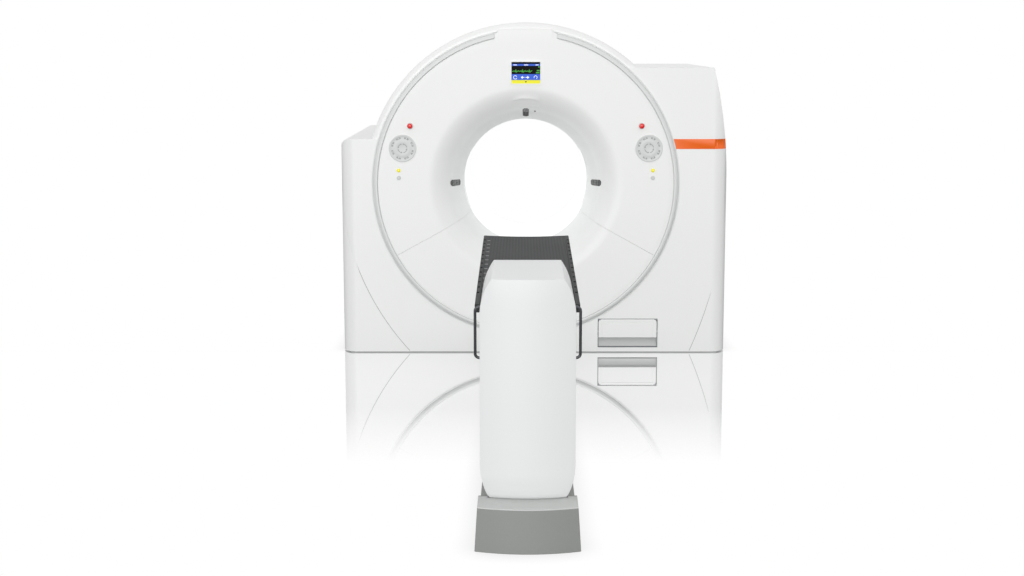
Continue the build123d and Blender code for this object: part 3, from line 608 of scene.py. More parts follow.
def dress(piece: bpy.types.Object, finish: Finish, body: str, slot: str | None, *nodes: str) -> None:
    """Give a piece its finish, its body and what it stands for.

    Args:
        piece: the new object.
        finish: its material.
        body: the body that carries it.
        slot: the record's material slot, if it has one for this piece; not used.
        nodes: solids that it replaces.
    """
    piece.data.materials.clear()
    piece.data.materials.append(finish.material())
    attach(piece, body)
    if nodes:
        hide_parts(*nodes)
    LOG.info("piece %s on %s", piece.name, body)


def join(name: str, pieces: list[bpy.types.Object]) -> bpy.types.Object:
    """Join several meshes into one piece of that name.

    Args:
        name: the joined piece's name.
        pieces: what is joined.

    Returns:
        The joined piece.
    """
    start_clean()
    for piece in pieces:
        piece.select_set(True)
    bpy.context.view_layer.objects.active = pieces[0]
    if len(pieces) > 1:
        bpy.ops.object.join()
    pieces[0].name = pieces[0].data.name = name
    return pieces[0]


# Gantry covers


# Section of the trim's front: metres out from its inner edge, millimetres back from its foremost line
TRIM_ROLL = ((0.0, 10), (0.0005, 4), (0.003, 0.8), (0.007, 0.0), (0.011, 0.5), (0.0155, 2.2), (0.020, 5.5),
             (0.024, 9.8), (0.0268, 14.5), (0.028, 16), (0.0284, 23), (0.0314, 23), (0.0318, 16), (0.0362, 16))


@dataclass
class RingCover:
    """Dished front ring: flat face, rolled turn and straight funnel, parted by two radial seams."""

    bore: float = 0.390
    throat_y: float = -0.430
    turn_radius: float = 0.600
    turn_blend: float = 0.170
    face_radius: float = 0.9077
    wall: float = 0.010
    edge: float = 0.004
    seam_angle: float = 29.0
    seam_gap: float = 0.10
    tab_half_top: float = 0.161
    tab_half_foot: float = 0.189
    tab_shoulder: float = 0.913
    tab_top: float = 0.937
    # The tab's sides are cut off steeply over this step and stand clear of the trim by the next
    tab_step: float = 0.0004
    tab_clear: float = 0.0006
    tab_margin: float = 1.3
    rim_margin: float = 1.2
    trim_radius: float = 0.945
    trim_clear: float = 0.0003
    trim_front: float = -0.680
    trim_shoulder: float = 0.017
    trim_back: float = -0.644
    trim_end_slack: float = 0.05
    ledge_half: float = 0.0875
    ledge_radius: float = 0.526
    ledge_rise: float = 0.007
    # The brow ends at this depth, its line drops towards its ends, and it fades out upwards and downwards
    ledge_back: float = -0.56
    ledge_curve: float = 0.010
    ledge_fade: float = 0.035
    ledge_lip: float = 0.25
    steps: int = 560
    trim_steps: int = 420

    def __post_init__(self) -> None:
        """Work out where the rolled turn meets the straight funnel."""
        self.turn_y = FACE_Y + self.turn_blend
        across, along = self.turn_radius - self.bore, self.turn_y - self.throat_y
        reach = math.hypot(across, along)
        run = math.sqrt(reach ** 2 - self.turn_blend ** 2)
        self.lean = math.atan2(along, across) - math.asin(self.turn_blend / reach)
        self.turn_end = (self.bore + run * math.cos(self.lean), self.throat_y + run * math.sin(self.lean))
        heading = math.atan2(self.turn_end[1] - self.turn_y, self.turn_end[0] - self.turn_radius)
        self.turn_heading = math.degrees(heading) % FULL_TURN

    def surface(self, along: float, heading: float, lift: float) -> Vector:
        """Point on the funnel or its rolled turn.

        Args:
            along: distance from the end of the turn, positive towards the flat face.
            heading: degrees from +X towards +Z.
            lift: height off the surface.

        Returns:
            The point in the frame.
        """
        if along > 0:
            turn = math.radians(self.turn_heading) + along / self.turn_blend
            way = (math.cos(turn), math.sin(turn))
            radius = self.turn_radius + (self.turn_blend + lift) * way[0]
            depth = self.turn_y + (self.turn_blend + lift) * way[1]
        else:
            way = (math.sin(self.lean), -math.cos(self.lean))
            radius = self.turn_end[0] + along * math.cos(self.lean) + lift * way[0]
            depth = self.turn_end[1] + along * math.sin(self.lean) + lift * way[1]
        turn = math.radians(heading)
        return Vector((radius * math.cos(turn), depth, ISO_Z + radius * math.sin(turn)))

    def profile(self) -> list[Point]:
        """Section of the cover as radius and depth, front side first.

        Returns:
            The points in order.
        """
        front = list(zip(evenly(self.bore, self.turn_end[0], 8), evenly(self.throat_y, self.turn_end[1], 8)))[:8]
        centre = (self.turn_radius, self.turn_y)
        front += arc(centre, self.turn_blend, self.turn_heading, 270, 44)
        outer = self.face_radius - self.edge
        front += [(radius, FACE_Y) for radius in evenly(self.turn_radius, outer, 10)[1:10]]
        front += arc((outer, FACE_Y + self.edge), self.edge, 270, 360, 5)
        back = [(self.face_radius, FACE_Y + self.wall)]
        back += arc(centre, self.turn_blend - self.wall, 270, self.turn_heading, 14)
        back += [(self.bore + self.wall, self.throat_y)]
        return front + back

    def _raise_tab(self, piece: bpy.types.Object) -> None:
        """Draw the outer edge up into the tab that crosses the trim.

        Args:
            piece: the upper cover.
        """
        corners = (self.tab_half_top, self.tab_half_foot, self.tab_half_foot + self.tab_step)
        rim = [v for v in piece.data.vertices
               if math.hypot(v.co.x, v.co.z - ISO_Z) > self.face_radius - self.edge * self.rim_margin
               and v.co.z > ISO_Z and abs(v.co.x) < self.tab_half_foot * self.tab_margin]
        columns = sorted({round(math.degrees(math.atan2(v.co.x, v.co.z - ISO_Z)), 3) for v in rim})
        spots = {c: math.sin(math.radians(c)) * self.face_radius for c in columns}
        for side in (-1, 1):
            near = min((c for c in spots if c * side > 0), key=lambda c: abs(abs(spots[c]) - corners[0]))
            spots[near] = side * corners[0]
            outward = sorted(
                (c for c in spots if c * side > 0 and abs(spots[c]) > corners[0] + self.wall),
                key=lambda c: abs(abs(math.sin(math.radians(c))) * self.face_radius - corners[1]))
            pair = sorted(outward[:2], key=abs)
            spots[pair[0]], spots[pair[1]] = side * corners[1], side * corners[2]
        for vertex in rim:
            column = min(columns, key=lambda c: abs(
                c - math.degrees(math.atan2(vertex.co.x, vertex.co.z - ISO_Z))))
            x = spots[column]
            radius = math.hypot(vertex.co.x, vertex.co.z - ISO_Z)
            half = abs(x)
            if half <= corners[0] + MERGE:
                top = self.trim_radius
            elif half <= corners[1] + MERGE:
                share = (half - corners[0]) / (corners[1] - corners[0])
                top = self.tab_top + (self.tab_shoulder - self.tab_top) * share
            else:
                top = math.sqrt(self.face_radius ** 2 - x ** 2)
            vertex.co.x = x
            vertex.co.z = ISO_Z + top - (self.face_radius - radius)

    def _form_ledge(self, piece: bpy.types.Object) -> None:
        """Raise the small curved brow between the display and the sensor panel, steep on its lower side.

        Args:
            piece: the upper cover.
        """
        for vertex in piece.data.vertices:
            share = abs(vertex.co.x) / self.ledge_half
            height = vertex.co.z - ISO_Z
            if height < 0 or share > 1 or vertex.co.y > self.ledge_back:
                continue
            crest = self.ledge_radius - self.ledge_curve * share ** 2
            offset = (math.hypot(vertex.co.x, height) - crest) / self.ledge_fade
            if -self.ledge_lip < offset < 1:
                swell = (1 - offset) ** 2 if offset > 0 else 1 + offset / self.ledge_lip
                vertex.co.y -= self.ledge_rise * swell * (1 - share ** 4)

    def build(self) -> None:
        """Make the upper and lower covers and the trim round them."""
        upper = turned("front_ring_skin", self.profile(), self.steps, -self.seam_angle + self.seam_gap / 2,
                       180 + 2 * self.seam_angle - self.seam_gap)
        self._raise_tab(upper)
        self._form_ledge(upper)
        lower = turned("front_lower_skin", self.profile(), self.steps // 2,
                       180 + self.seam_angle + self.seam_gap / 2, 180 - 2 * self.seam_angle - self.seam_gap)
        for piece, node in ((upper, "front_ring_cover"), (lower, "front_lower_cover")):
            smooth(piece)
            dress(piece, COVER, "gantry", "cover_white", node)
        dress(self._trim(), TRIM, "gantry", "trim_grey", "ring_trim")

    def _trim(self) -> bpy.types.Object:
        """Rounded trim ring, open at the top for the tab.

        Returns:
            The new closed piece.
        """
        inner, outer = self.face_radius + self.trim_clear, self.trim_radius
        section = [(inner + out, self.trim_front + back * MM) for out, back in TRIM_ROLL]
        section += [(outer, self.trim_front + self.trim_shoulder), (outer, self.trim_back)]
        section += [(inner, self.trim_back)]
        gap = math.degrees(math.asin((self.tab_half_foot + self.tab_step) / ((inner + outer) / 2)))
        piece = turned("ring_trim_skin", section, self.trim_steps, 90 + gap, FULL_TURN - 2 * gap)
        for vertex in piece.data.vertices:
            heading = math.degrees(math.atan2(vertex.co.x, vertex.co.z - ISO_Z))
            if abs(abs(heading) - gap) > self.trim_end_slack or vertex.co.z < ISO_Z:
                continue
            side, height = math.copysign(1, vertex.co.x), vertex.co.z - ISO_Z
            past = max(0.0, height - self.tab_shoulder) / (self.tab_top - self.tab_shoulder)
            draw_in = min(past, 1.0) * (self.tab_half_foot - self.tab_half_top)
            reach = self.tab_half_foot + self.tab_clear - draw_in
            vertex.co.x = side * reach
        smooth(piece)
        return piece


@dataclass
class Housing:
    """White covers round the ring, the drum over it and the accent film."""

    drum_radius: float = 0.986
    drum_half: float = 0.6517
    drum_shoulder: float = 0.034
    drum_low: float = 1.273
    drum_steps: int = 420
    lip_radius: float = 0.9456
    wall: float = 0.008
    edge: float = 0.0025
    rear_bore: float = 0.390
    rear_throat: float = 0.372
    rear_face: float = 0.672
    rear_rim: float = 0.945
    rear_wall: float = 0.010
    rear_edge: float = 0.005
    rear_inner: float = 0.700
    rear_funnel_end: Point = (0.650, 0.6258)
    rear_turn: Point = (0.716, 0.6255)
    rear_turn_radius: float = 0.0465
    rear_turn_start: float = 136.0
    rear_steps: int = 360
    band_low: float = 1.2717
    band_high: float = 1.333
    band_start: float = 0.8967
    band_lean: float = 0.0186
    film: float = 0.0006
    flap_left: float = 0.4525
    flap_right: float = 0.8155
    flap_split: float = 0.0950
    flap_top: float = 0.2100
    flap_bend: float = 0.022
    flap_sunk: float = 0.0025
    flap_depth: float = 0.008
    flap_edge: float = 0.0018
    inlay_inset: float = 0.024
    inlay_bend: float = 0.006
    rim_inset: float = 0.010
    rim_bend: float = 0.013
    rim_width: float = 0.0175
    rim_depth: float = 0.006
    grip_low: float = 0.0385
    grip_gap: float = 0.0005
    grip_front: float = 0.001
    grip_back: float = 0.038
    grip_rim: float = 0.0025
    grip_shallow: float = 0.008
    grip_deeper: float = 0.026
    grip_edge: float = 0.0015
    seam_low: float = 0.012
    seam_top: float = 1.100
    seam_width: float = 0.0038
    seam_proud: float = 0.0004
    seam_root: float = 0.002
    # x of the middle, radius and side of each joint's arc
    seam_arcs: tuple[tuple[float, float, int], ...] = ((0.491, 1.630, -1), (-1.507, 2.750, 1))
    foot_shadow_left: float = -1.09
    foot_shadow_right: float = 1.19
    foot_shadow_low: float = 0.001
    foot_shadow_high: float = 0.0075
    corner: float = 0.100

    def build(self) -> None:
        """Make the covers, the drum, the rear ring and the flap."""
        for node in ("left_front_panel", "right_front_panel", "left_corner_panel", "right_corner_panel",
                     "left_side_cover", "right_side_cover", "rear_panel"):
            piece = skin_of(node)
            soften(piece, self.edge)
            dress(piece, COVER, "gantry", "cover_white", node)
        dress(self._flap(), COVER, "flap", "cover_white", "access_flap")
        # The grip cup's mid grey is painted shade for its hollow
        dress(self._grip(), GRIP_SHADE, "flap", "grip_dark", "flap_grip")
        dress(self._seams(), SEAM_SHADOW, "gantry", "cover_white")
        dress(self._drum(), COVER, "gantry", "cover_white", "drum_cover")
        dress(self._rear_ring(), COVER, "gantry", "cover_white", "rear_ring_cover")
        dress(self._band(), ORANGE, "gantry", None)
        self._liners()

    def _drum(self) -> bpy.types.Object:
        """Barrel over the ring with rolled front and rear edges, cut level at its foot.

        Returns:
            The new closed piece.
        """
        flat, half, r = self.drum_radius - self.drum_shoulder, self.drum_half, self.drum_shoulder
        outer = [(self.lip_radius, -half)] + arc((flat, r - half), r, 270, 360, 12)
        outer += arc((flat, half - r), r, 0, 90, 12) + [(self.lip_radius, half)]
        inner = [(self.lip_radius, half - self.wall), (flat, half - self.wall),
                 (self.drum_radius - self.wall, half - r), (self.drum_radius - self.wall, r - half),
                 (flat, self.wall - half), (self.lip_radius, self.wall - half)]
        piece = turned("drum_skin", outer + inner, self.drum_steps, 0, FULL_TURN / 2)
        open_edit(piece)
        bpy.ops.mesh.bisect(plane_co=(0, 0, self.drum_low), plane_no=(0, 0, 1), use_fill=True,
                            clear_inner=True)
        close_edit()
        tidy_mesh(piece)
        smooth(piece)
        return piece

    def _rear_ring(self) -> bpy.types.Object:
        """Rear cover with its wide funnel and a rolled turn to the flat.

        Returns:
            The new closed piece.
        """
        rim, face, inside = self.rear_rim, self.rear_face, self.rear_face - self.rear_wall
        section = [(self.rear_bore, self.rear_throat), self.rear_funnel_end]
        section += arc(self.rear_turn, self.rear_turn_radius, self.rear_turn_start, 90, 8)
        section += [(rim - self.rear_edge, face), (rim, face - self.rear_edge)]
        section += [(rim, inside), (self.rear_inner, inside)]
        section += [(self.rear_bore + self.rear_wall, self.rear_throat)]
        piece = turned("rear_ring_skin", section, self.rear_steps)
        smooth(piece, 30)
        return piece

    def _band(self) -> bpy.types.Object:
        """Accent film from the trim round the outer corner of the right panel, cut from that panel's skin.

        Returns:
            The new thin piece.
        """
        piece = skin_of("right_front_panel")
        piece.name = piece.data.name = "accent_band"
        lean = (self.band_high - self.band_low, 0, self.band_lean)
        for place, way in (((0, 0, self.band_low), (0, 0, 1)), ((0, 0, self.band_high), (0, 0, -1)),
                           ((self.band_start, 0, self.band_low), lean)):
            open_edit(piece)
            bpy.ops.mesh.bisect(plane_co=place, plane_no=way, clear_inner=True)
            close_edit()
        # Faces that look neither to the front nor outwards are the panel's inside
        pick_faces(piece, lambda f: f.normal.y > -0.02 and f.normal.x < 0.05)
        bpy.ops.mesh.delete(type="FACE")
        close_edit()
        thicken(piece, self.film, 1.0)
        smooth(piece)
        return piece

    def _arch(self, inset: float, bend: float) -> list[Point]:
        """Line up the flap's right side, over its rounded top and down its left side.

        Args:
            inset: distance from the flap's edge.
            bend: radius of the two upper corners.

        Returns:
            The points in order.
        """
        left, right = self.flap_left + inset, self.flap_right - inset
        level = self.flap_top - inset - bend
        top = arc((right - bend, level), bend, 0, 90, 8) + arc((left + bend, level), bend, 90, 180, 8)
        return [(right, self.flap_split), *top, (left, self.flap_split)]

    def _flap(self) -> bpy.types.Object:
        """Access flap: backing plate, rounded rim and an inner panel parted by grooves.

        Returns:
            The joined piece.
        """
        pieces = []
        for inset, bend, sunk in ((0.0, self.flap_bend, self.flap_sunk),
                                  (self.inlay_inset, self.inlay_bend, 0.0)):
            line = self._arch(inset, bend)
            pieces.append(slab("flap_plate", line[-1:] + line[:-1], PANEL_Y + sunk, PANEL_Y + self.flap_depth))
        rim = ribbon(self._arch(self.rim_inset, self.rim_bend), self.rim_width)
        pieces.append(slab("flap_rim", rim, PANEL_Y, PANEL_Y + self.rim_depth))
        for piece in pieces:
            soften(piece, self.flap_edge)
        return join("access_flap_skin", pieces)

    def _grip(self) -> bpy.types.Object:
        """Scooped grip under the flap's panel, deep at its top and shallow at its foot.

        Returns:
            The new closed piece.
        """
        left, right, low, high = self.flap_left, self.flap_right, self.grip_low, self.flap_split - self.grip_gap
        piece = slab("flap_grip_skin", [(left, low), (right, low), (right, high), (left, high)],
                     PANEL_Y + self.grip_front, PANEL_Y + self.grip_back)
        pick_faces(piece, faces_front)
        bpy.ops.mesh.inset(thickness=self.grip_rim)
        extrude((0, self.grip_shallow, 0))
        close_edit()
        floor = PANEL_Y + self.grip_front + self.grip_shallow
        for vertex in piece.data.vertices:
            if abs(vertex.co.y - floor) < 10 * MERGE and vertex.co.z > (low + high) / 2:
                vertex.co.y += self.grip_deeper
        soften(piece, self.grip_edge)
        return piece

    def _seams(self) -> bpy.types.Object:
        """Grey strips painted as the shadow lines of the joints where the corner panels meet the front panels,
        along two large arcs, and at the panels' foot.

        Returns:
            The joined piece.
        """
        made = []
        levels = evenly(self.seam_low, self.seam_top, 60)[:57]
        for middle, radius, side in self.seam_arcs:
            path = [(middle + side * math.sqrt(radius ** 2 - (self.seam_top - z) ** 2), z) for z in levels]
            made.append(slab("corner_seam", ribbon(path, self.seam_width), PANEL_Y - self.seam_proud,
                             PANEL_Y + self.seam_root))
            start = abs(middle + side * radius) - self.corner
            for vertex in made[-1].data.vertices:
                past = min(max(abs(vertex.co.x) - start, 0.0), self.corner)
                vertex.co.y += self.corner - math.sqrt(self.corner ** 2 - past ** 2)
        # A grey strip along the panels' foot, painted as the shadow line where they meet the floor
        foot = [(self.foot_shadow_left, self.foot_shadow_low), (self.foot_shadow_right, self.foot_shadow_low),
                (self.foot_shadow_right, self.foot_shadow_high), (self.foot_shadow_left, self.foot_shadow_high)]
        made.append(slab("foot_shadow_line", foot, PANEL_Y + self.seam_root, PANEL_Y + self.wall))
        return join("corner_seams", made)

    def _liners(self) -> None:
        """Smooth the bore lining and the scan window."""
        # The liner and the scan window carry a painted glow that lightens the shade in the bore
        for node, finish, slot in (("bore_tube_rear", LINER_GLOW, "cover_white"),
                                   ("scan_window", WINDOW_FILM_GLOW, "window_film")):
            piece = skin_of(node)
            smooth(piece, 30)
            dress(piece, finish, "gantry", slot, node)


# Controls on the ring


PATCH_GRID = (24, 10)  # divisions of a plate across and along the funnel
PATCH_ROOT = 0.002  # how far a plate reaches into the funnel
PATCH_LEAST = 0.02  # least share of its length that a plate keeps at its side
PATCH_EDGE = 0.0006  # rounding of its rim


def patch(name: str, ring: RingCover, heading: float, spot: Place, lift: float,
          outline: Callable[[float], float], skew: float = 0.0) -> bpy.types.Object:
    """Thin plate that follows the funnel, from a grid.

    Args:
        name: the new piece's name.
        ring: the cover that carries it.
        heading: its middle, in degrees from +X towards +Z.
        spot: middle along the funnel, half width and half length.
        lift: how far it stands proud.
        outline: half length, as a share, at a share of the half width.
        skew: degrees that it leans over per metre along the funnel.

    Returns:
        The new closed piece.
    """
    piece = flat_grid(name, *PATCH_GRID)
    middle, half_width, half_length = spot
    radius = ring.surface(middle, 0, 0).x
    for vertex in piece.data.vertices:
        across = math.sin(vertex.co.x * math.pi / 2)
        along = middle + vertex.co.y * half_length * max(outline(across), PATCH_LEAST)
        turn = skew * along - math.degrees(across * half_width / radius)
        vertex.co = ring.surface(along, heading + turn, lift)
    open_edit(piece, Pick.FACES)
    bpy.ops.mesh.normals_make_consistent(inside=False)
    close_edit()
    outwards = ring.surface(middle, heading, lift) - ring.surface(middle, heading, 0.0)
    if piece.data.polygons[len(piece.data.polygons) // 2].normal.dot(outwards) < 0:
        piece.data.flip_normals()
    thicken(piece, lift + PATCH_ROOT, -1.0)
    soften(piece, min(PATCH_EDGE, half_length * 0.3), 2)
    return piece


@dataclass
class Display:
    """Screen in a thin frame on the flat of the ring, with generic lit graphics."""

    centre: Point = (0.0, ISO_Z + 0.682)
    width: float = 0.186
    height: float = 0.142
    border: float = 0.006
    bend: float = 0.008
    front: float = -0.680
    hollow: float = 0.0045
    screen: float = -0.677
    glass_clear: float = 0.0006
    glass_bend: float = 0.003
    layer_pitch: float = 0.00025
    layer_depth: float = 0.00024
    line: float = 0.003
    trace_line: float = 0.005

    def spot(self, across: float, down: float) -> Point:
        """Point on the screen from shares across and down from its top left corner."""
        width, height = self.width - 2 * self.border, self.height - 2 * self.border
        return (self.centre[0] + (across - 0.5) * width, self.centre[1] + (0.5 - down) * height)

    def box(self, left: float, top: float, right: float, bottom: float) -> list[Point]:
        """Outline of a rectangle given in shares of the screen."""
        return [self.spot(x, y) for x, y in ((left, bottom), (right, bottom), (right, top), (left, top))]

    def _frame(self) -> bpy.types.Object:
        """Thin frame, hollowed for the screen.

        Returns:
            The new closed piece.
        """
        outline = rounded_box(self.centre, self.width, self.height, self.bend)
        piece = slab("display_frame", outline, self.front, FACE_Y)
        pick_faces(piece, faces_front)
        bpy.ops.mesh.inset(thickness=self.border)
        extrude((0, self.hollow, 0))
        close_edit()
        soften(piece, 0.0012)
        return piece

    def _print(self, name: str, outlines: list[list[Point]], finish: Finish, layer: int) -> None:
        """Lay thin lit shapes on the screen.

        Args:
            name: the piece's name.
            outlines: one outline per shape.
            finish: their colour.
            layer: how many layers lie under them.
        """
        front = self.screen - self.layer_pitch * (layer + 1)
        shapes = [slab(name, outline, front, front + self.layer_depth) for outline in outlines]
        dress(join(name, shapes), finish, "gantry", "screen_glass")

    def build(self) -> None:
        """Make the frame, the screen and what is lit on it."""
        dress(self._frame(), COVER, "gantry", "bezel_dark", "display_bezel")
        inner = [size - 2 * self.border - self.glass_clear for size in (self.width, self.height)]
        glass = slab("display_glass", rounded_box(self.centre, *inner, self.glass_bend), self.screen,
                     self.screen + self.glass_bend)
        soften(glass, 0.0004, 2)
        dress(glass, GLASS, "gantry", "screen_glass", "display_screen")
        stripes = [self.box(0.0, 0.09, 1.0, 0.175), self.box(0.0, 0.56, 1.0, 0.83)]
        self._print("screen_blue", stripes, SCREEN_BLUE, 0)
        self._print("screen_yellow", [self.box(0.0, 0.835, 1.0, 1.0)], SCREEN_YELLOW, 0)
        # One beat of the trace, as shares across and down the screen, drawn three times
        beat = ((0, 0.0), (0.05, 0.0), (0.07, -0.03), (0.09, 0.0), (0.115, 0.03), (0.13, -0.09), (0.15, 0.06),
                (0.165, 0.0), (0.20, 0.0), (0.225, -0.04))
        trace = [self.spot(0.02 + 0.235 * n + dx, 0.43 + dy) for n in range(3) for dx, dy in beat]
        steps = [ribbon([a, b], self.trace_line) for a, b in zip(trace, trace[1:])]
        bars = [self.box(left, top, 0.98, top + 0.065)
                for left, top in ((0.93, 0.19), (0.88, 0.36), (0.85, 0.46))]
        self._print("screen_green", steps + bars, SCREEN_GREEN, 0)
        heads = [self.box(x, 0.115, x + w, 0.15) for x, w in ((0.07, 0.12), (0.44, 0.14), (0.84, 0.10))]
        rounds = [ribbon(arc(self.spot(0.13, 0.71), 0.0105, 20, 340, 28), self.line),
                  ribbon(arc(self.spot(0.84, 0.71), 0.0095, -60, 210, 24), self.line)]
        arrows = [[self.spot(x, 0.71), self.spot(x + d, 0.64), self.spot(x + d, 0.78)]
                  for x, d in ((0.32, 0.07), (0.62, -0.07))]
        stems = [self.box(0.38, 0.695, 0.45, 0.725), self.box(0.49, 0.695, 0.56, 0.725)]
        self._print("screen_white", heads + rounds + arrows + stems, SCREEN_WHITE, 1)
        mark = [self.spot(0.46, 0.89), self.spot(0.54, 0.89), self.spot(0.50, 0.96)]
        self._print("screen_mark", [mark], MARK_DARK, 1)


# Sections of the turned controls as radius and depth, from the middle of the front
LAMP_LENS = [(0.0, -0.678), (0.004, -0.6778), (0.008, -0.6766), (0.0105, -0.675), (0.0118, -0.6735),
             (0.012, FACE_Y), (0.0, FACE_Y)]
STOP_HEAD = [(0.0, -0.6923), (0.006, -0.6921), (0.011, -0.6914), (0.0145, -0.6898), (0.016, -0.687),
             (0.016, -0.6842), (0.0152, -0.6833), (0.006, -0.6833), (0.006, -0.6593), (0.0, -0.6593)]
CALL_CAP = [(0.0, -0.6786), (0.004, -0.6787), (0.0075, -0.679), (0.0087, -0.6787), (0.009, -0.678),
            (0.009, -0.652), (0.0, -0.652)]
# Face of a keypad: radius, and how far it lies behind the rim
PAD_FACE = ((0.0, 0.0012), (0.030, 0.0012), (0.032, 0.0004), (0.052, 0.0004), (0.054, 0.0012), (0.074, 0.0012),
            (0.076, 0.0), (0.081, 0.0), (0.083, 0.0008), (0.084, 0.002))


@dataclass
class RingControls:
    """Keypads, stop and call buttons, lamps, laser windows and the sensor panel."""

    keypad: Point = (0.753, ISO_Z + 0.223)
    keypad_front: float = -0.677
    # Front and back of the print, behind the keypad's rim
    mark_depth: Point = (0.0008, 0.0014)
    light_depth: Point = (0.0005, 0.0009)
    arrow_radius: float = 0.027
    key_radius: float = 0.064
    stop: Point = (0.706, ISO_Z + 0.360)
    lamp: Point = (0.778, ISO_Z + 0.087)
    call: Point = (0.778, ISO_Z + 0.042)
    # A spot is the middle along the funnel, half the width and half the length
    panel_spot: Place = (0.0226, 0.096, 0.054)
    panel_lift: float = 0.0012
    panel_straight: float = 0.72
    eye_heading: float = 82.8
    eye_spot: Place = (0.018, 0.006, 0.009)
    eye_lift: float = 0.0022
    laser_spot: Place = (-0.020, 0.019, 0.069)
    laser_lift: float = 0.0016
    laser_draw: float = 0.22
    # Heading of each window, and how many degrees it leans over per metre
    laser_skews: tuple[Point, ...] = ((90, 0.0), (180, -8.0), (0, 8.0))
    laser_half: float = 0.0165
    laser_radius: float = 0.44
    rib_count: int = 5
    rib_start: float = -0.072
    rib_pitch: float = 0.024
    rib_half: float = 0.0028
    rib_lift: float = 0.0026
    rail_spot: Place = (-0.024, 0.0013, 0.051)
    rail_lift: float = 0.0028

    def build(self, ring: RingCover) -> None:
        """Make all controls, on both sides.

        Args:
            ring: the cover whose funnel carries the windows.
        """
        pads, marks, lights, lamps, collars = [], [], [], [], []
        for side in Side:
            self._buttons(side)
            pads.append(self._pad(side))
            marks += self._marks(side)
            lights += self._lights(side)
            lamps.append(self._turned("lamp", LAMP_LENS, side, self.lamp, 40, 50))
            collars += self._collars(side)
        dress(join("keypads_skin", pads), KEYPAD, "gantry", "keypad_grey", "keypads")
        dress(join("keypad_marks", marks), KEY_MARK, "gantry", "keypad_grey")
        dress(join("keypad_lights", lights), KEY_LIGHT, "gantry", "keypad_grey")
        dress(join("signal_lamps_skin", lamps), LAMP_YELLOW, "gantry", "lamp_yellow", "signal_lamps")
        dress(join("button_collars_skin", collars), BUTTON, "gantry", "button_grey", "button_collars")
        self._windows(ring)

    def _turned(self, name: str, section: list[Point], side: Side, place: Point, steps: int,
                crease: float) -> bpy.types.Object:
        """Turn one control and smooth it.

        Args:
            name: the new piece's name.
            section: its section as radius and depth.
            side: where it sits.
            place: its middle on the right side.
            steps: divisions round it.
            crease: edges sharper than this, in degrees, stay crisp.

        Returns:
            The new closed piece.
        """
        piece = turned(name, section, steps, centre=(side.value * place[0], place[1]))
        smooth(piece, crease)
        return piece

    def _buttons(self, side: Side) -> None:
        """Red mushroom button and the small call button below it.

        Args:
            side: where they sit.
        """
        name = side.name.lower()
        stop = self._turned("stop_" + name + "_skin", STOP_HEAD, side, self.stop, 48, 45)
        dress(stop, STOP_RED, "stop_" + name, "stop_red", "stop_button_" + name)
        call = self._turned("call_" + name + "_skin", CALL_CAP, side, self.call, 40, 45)
        dress(call, BUTTON, "call_" + name, "button_grey", "call_button_" + name)

    def _collars(self, side: Side) -> list[bpy.types.Object]:
        """Seats of the stop and call buttons.

        Args:
            side: where they sit.

        Returns:
            The two seats.
        """
        made = []
        for place, inner, outer, front in ((self.stop, 0.0063, 0.020, -0.677),
                                           (self.call, 0.0093, 0.013, -0.676)):
            section = [(inner, front + 0.0006), (inner + 0.0006, front), (outer - 0.0024, front),
                       (outer - 0.0008, front + 0.0008), (outer, front + 0.0026),
                       (outer, FACE_Y), (inner, FACE_Y)]
            made.append(self._turned("collar", section, side, place, 48, 45))
        return made

    def _pad(self, side: Side) -> bpy.types.Object:
        """Round keypad with a raised rim and a shallow inner well.

        Args:
            side: where it sits.

        Returns:
            The new closed piece.
        """
        section = [(radius, self.keypad_front + behind) for radius, behind in PAD_FACE]
        section += [(PAD_FACE[-1][0], FACE_Y), (0.0, FACE_Y)]
        return self._turned("keypad", section, side, self.keypad, 96, 40)

    def _print(self, name: str, outline: list[Point], depth: Point) -> bpy.types.Object:
        """Thin printed shape on a keypad, between two depths behind its rim."""
        return slab(name, outline, self.keypad_front + depth[0], self.keypad_front + depth[1])

    def _arrowhead(self, side: Side, heading: float, corners: tuple[Point, ...]) -> list[Point]:
        """Outline of a triangle on a keypad.

        Args:
            side: where it sits.
            heading: degrees round the keypad.
            corners: radius of each corner, and radians past the heading.

        Returns:
            The corners as x and z.
        """
        x, z, way = side.value * self.keypad[0], self.keypad[1], math.radians(heading)
        return [(x + r * math.cos(way + past), z + r * math.sin(way + past)) for r, past in corners]

    def _marks(self, side: Side) -> list[bpy.types.Object]:
        """Printed arrows of the inner ring and key marks of the outer ring.

        Args:
            side: where they sit.

        Returns:
            The printed shapes.
        """
        centre, made = (side.value * self.keypad[0], self.keypad[1]), []
        for turn in range(0, FULL_TURN, 90):
            sweep = arc(centre, self.arrow_radius, turn + 12, turn + 66, 12)
            made.append(self._print("key_arc", ribbon(sweep, 0.0042), self.mark_depth))
            tip = self._arrowhead(side, turn + 74, ((self.arrow_radius, 0.30), (0.0335, -0.10), (0.0205, -0.10)))
            made.append(self._print("key_tip", tip, self.mark_depth))
        for turn in range(0, FULL_TURN, 45):
            sweep = arc(centre, self.key_radius, turn + 10, turn + 35, 8)
            made.append(self._print("key_mark", ribbon(sweep, 0.0105), self.mark_depth))
        return made

    def _lights(self, side: Side) -> list[bpy.types.Object]:
        """Pale symbols on the outer keys: short bars and small triangles in turn.

        Args:
            side: where they sit.

        Returns:
            The printed shapes.
        """
        centre, made = (side.value * self.keypad[0], self.keypad[1]), []
        for turn in range(0, FULL_TURN, 45):
            if turn % 90:
                shape = self._arrowhead(side, turn + 22.5, ((0.0675, 0.0), (0.061, 0.075), (0.061, -0.075)))
            else:
                shape = ribbon(arc(centre, self.key_radius, turn + 17, turn + 28, 5), 0.003)
            made.append(self._print("key_light", shape, self.light_depth))
        return made

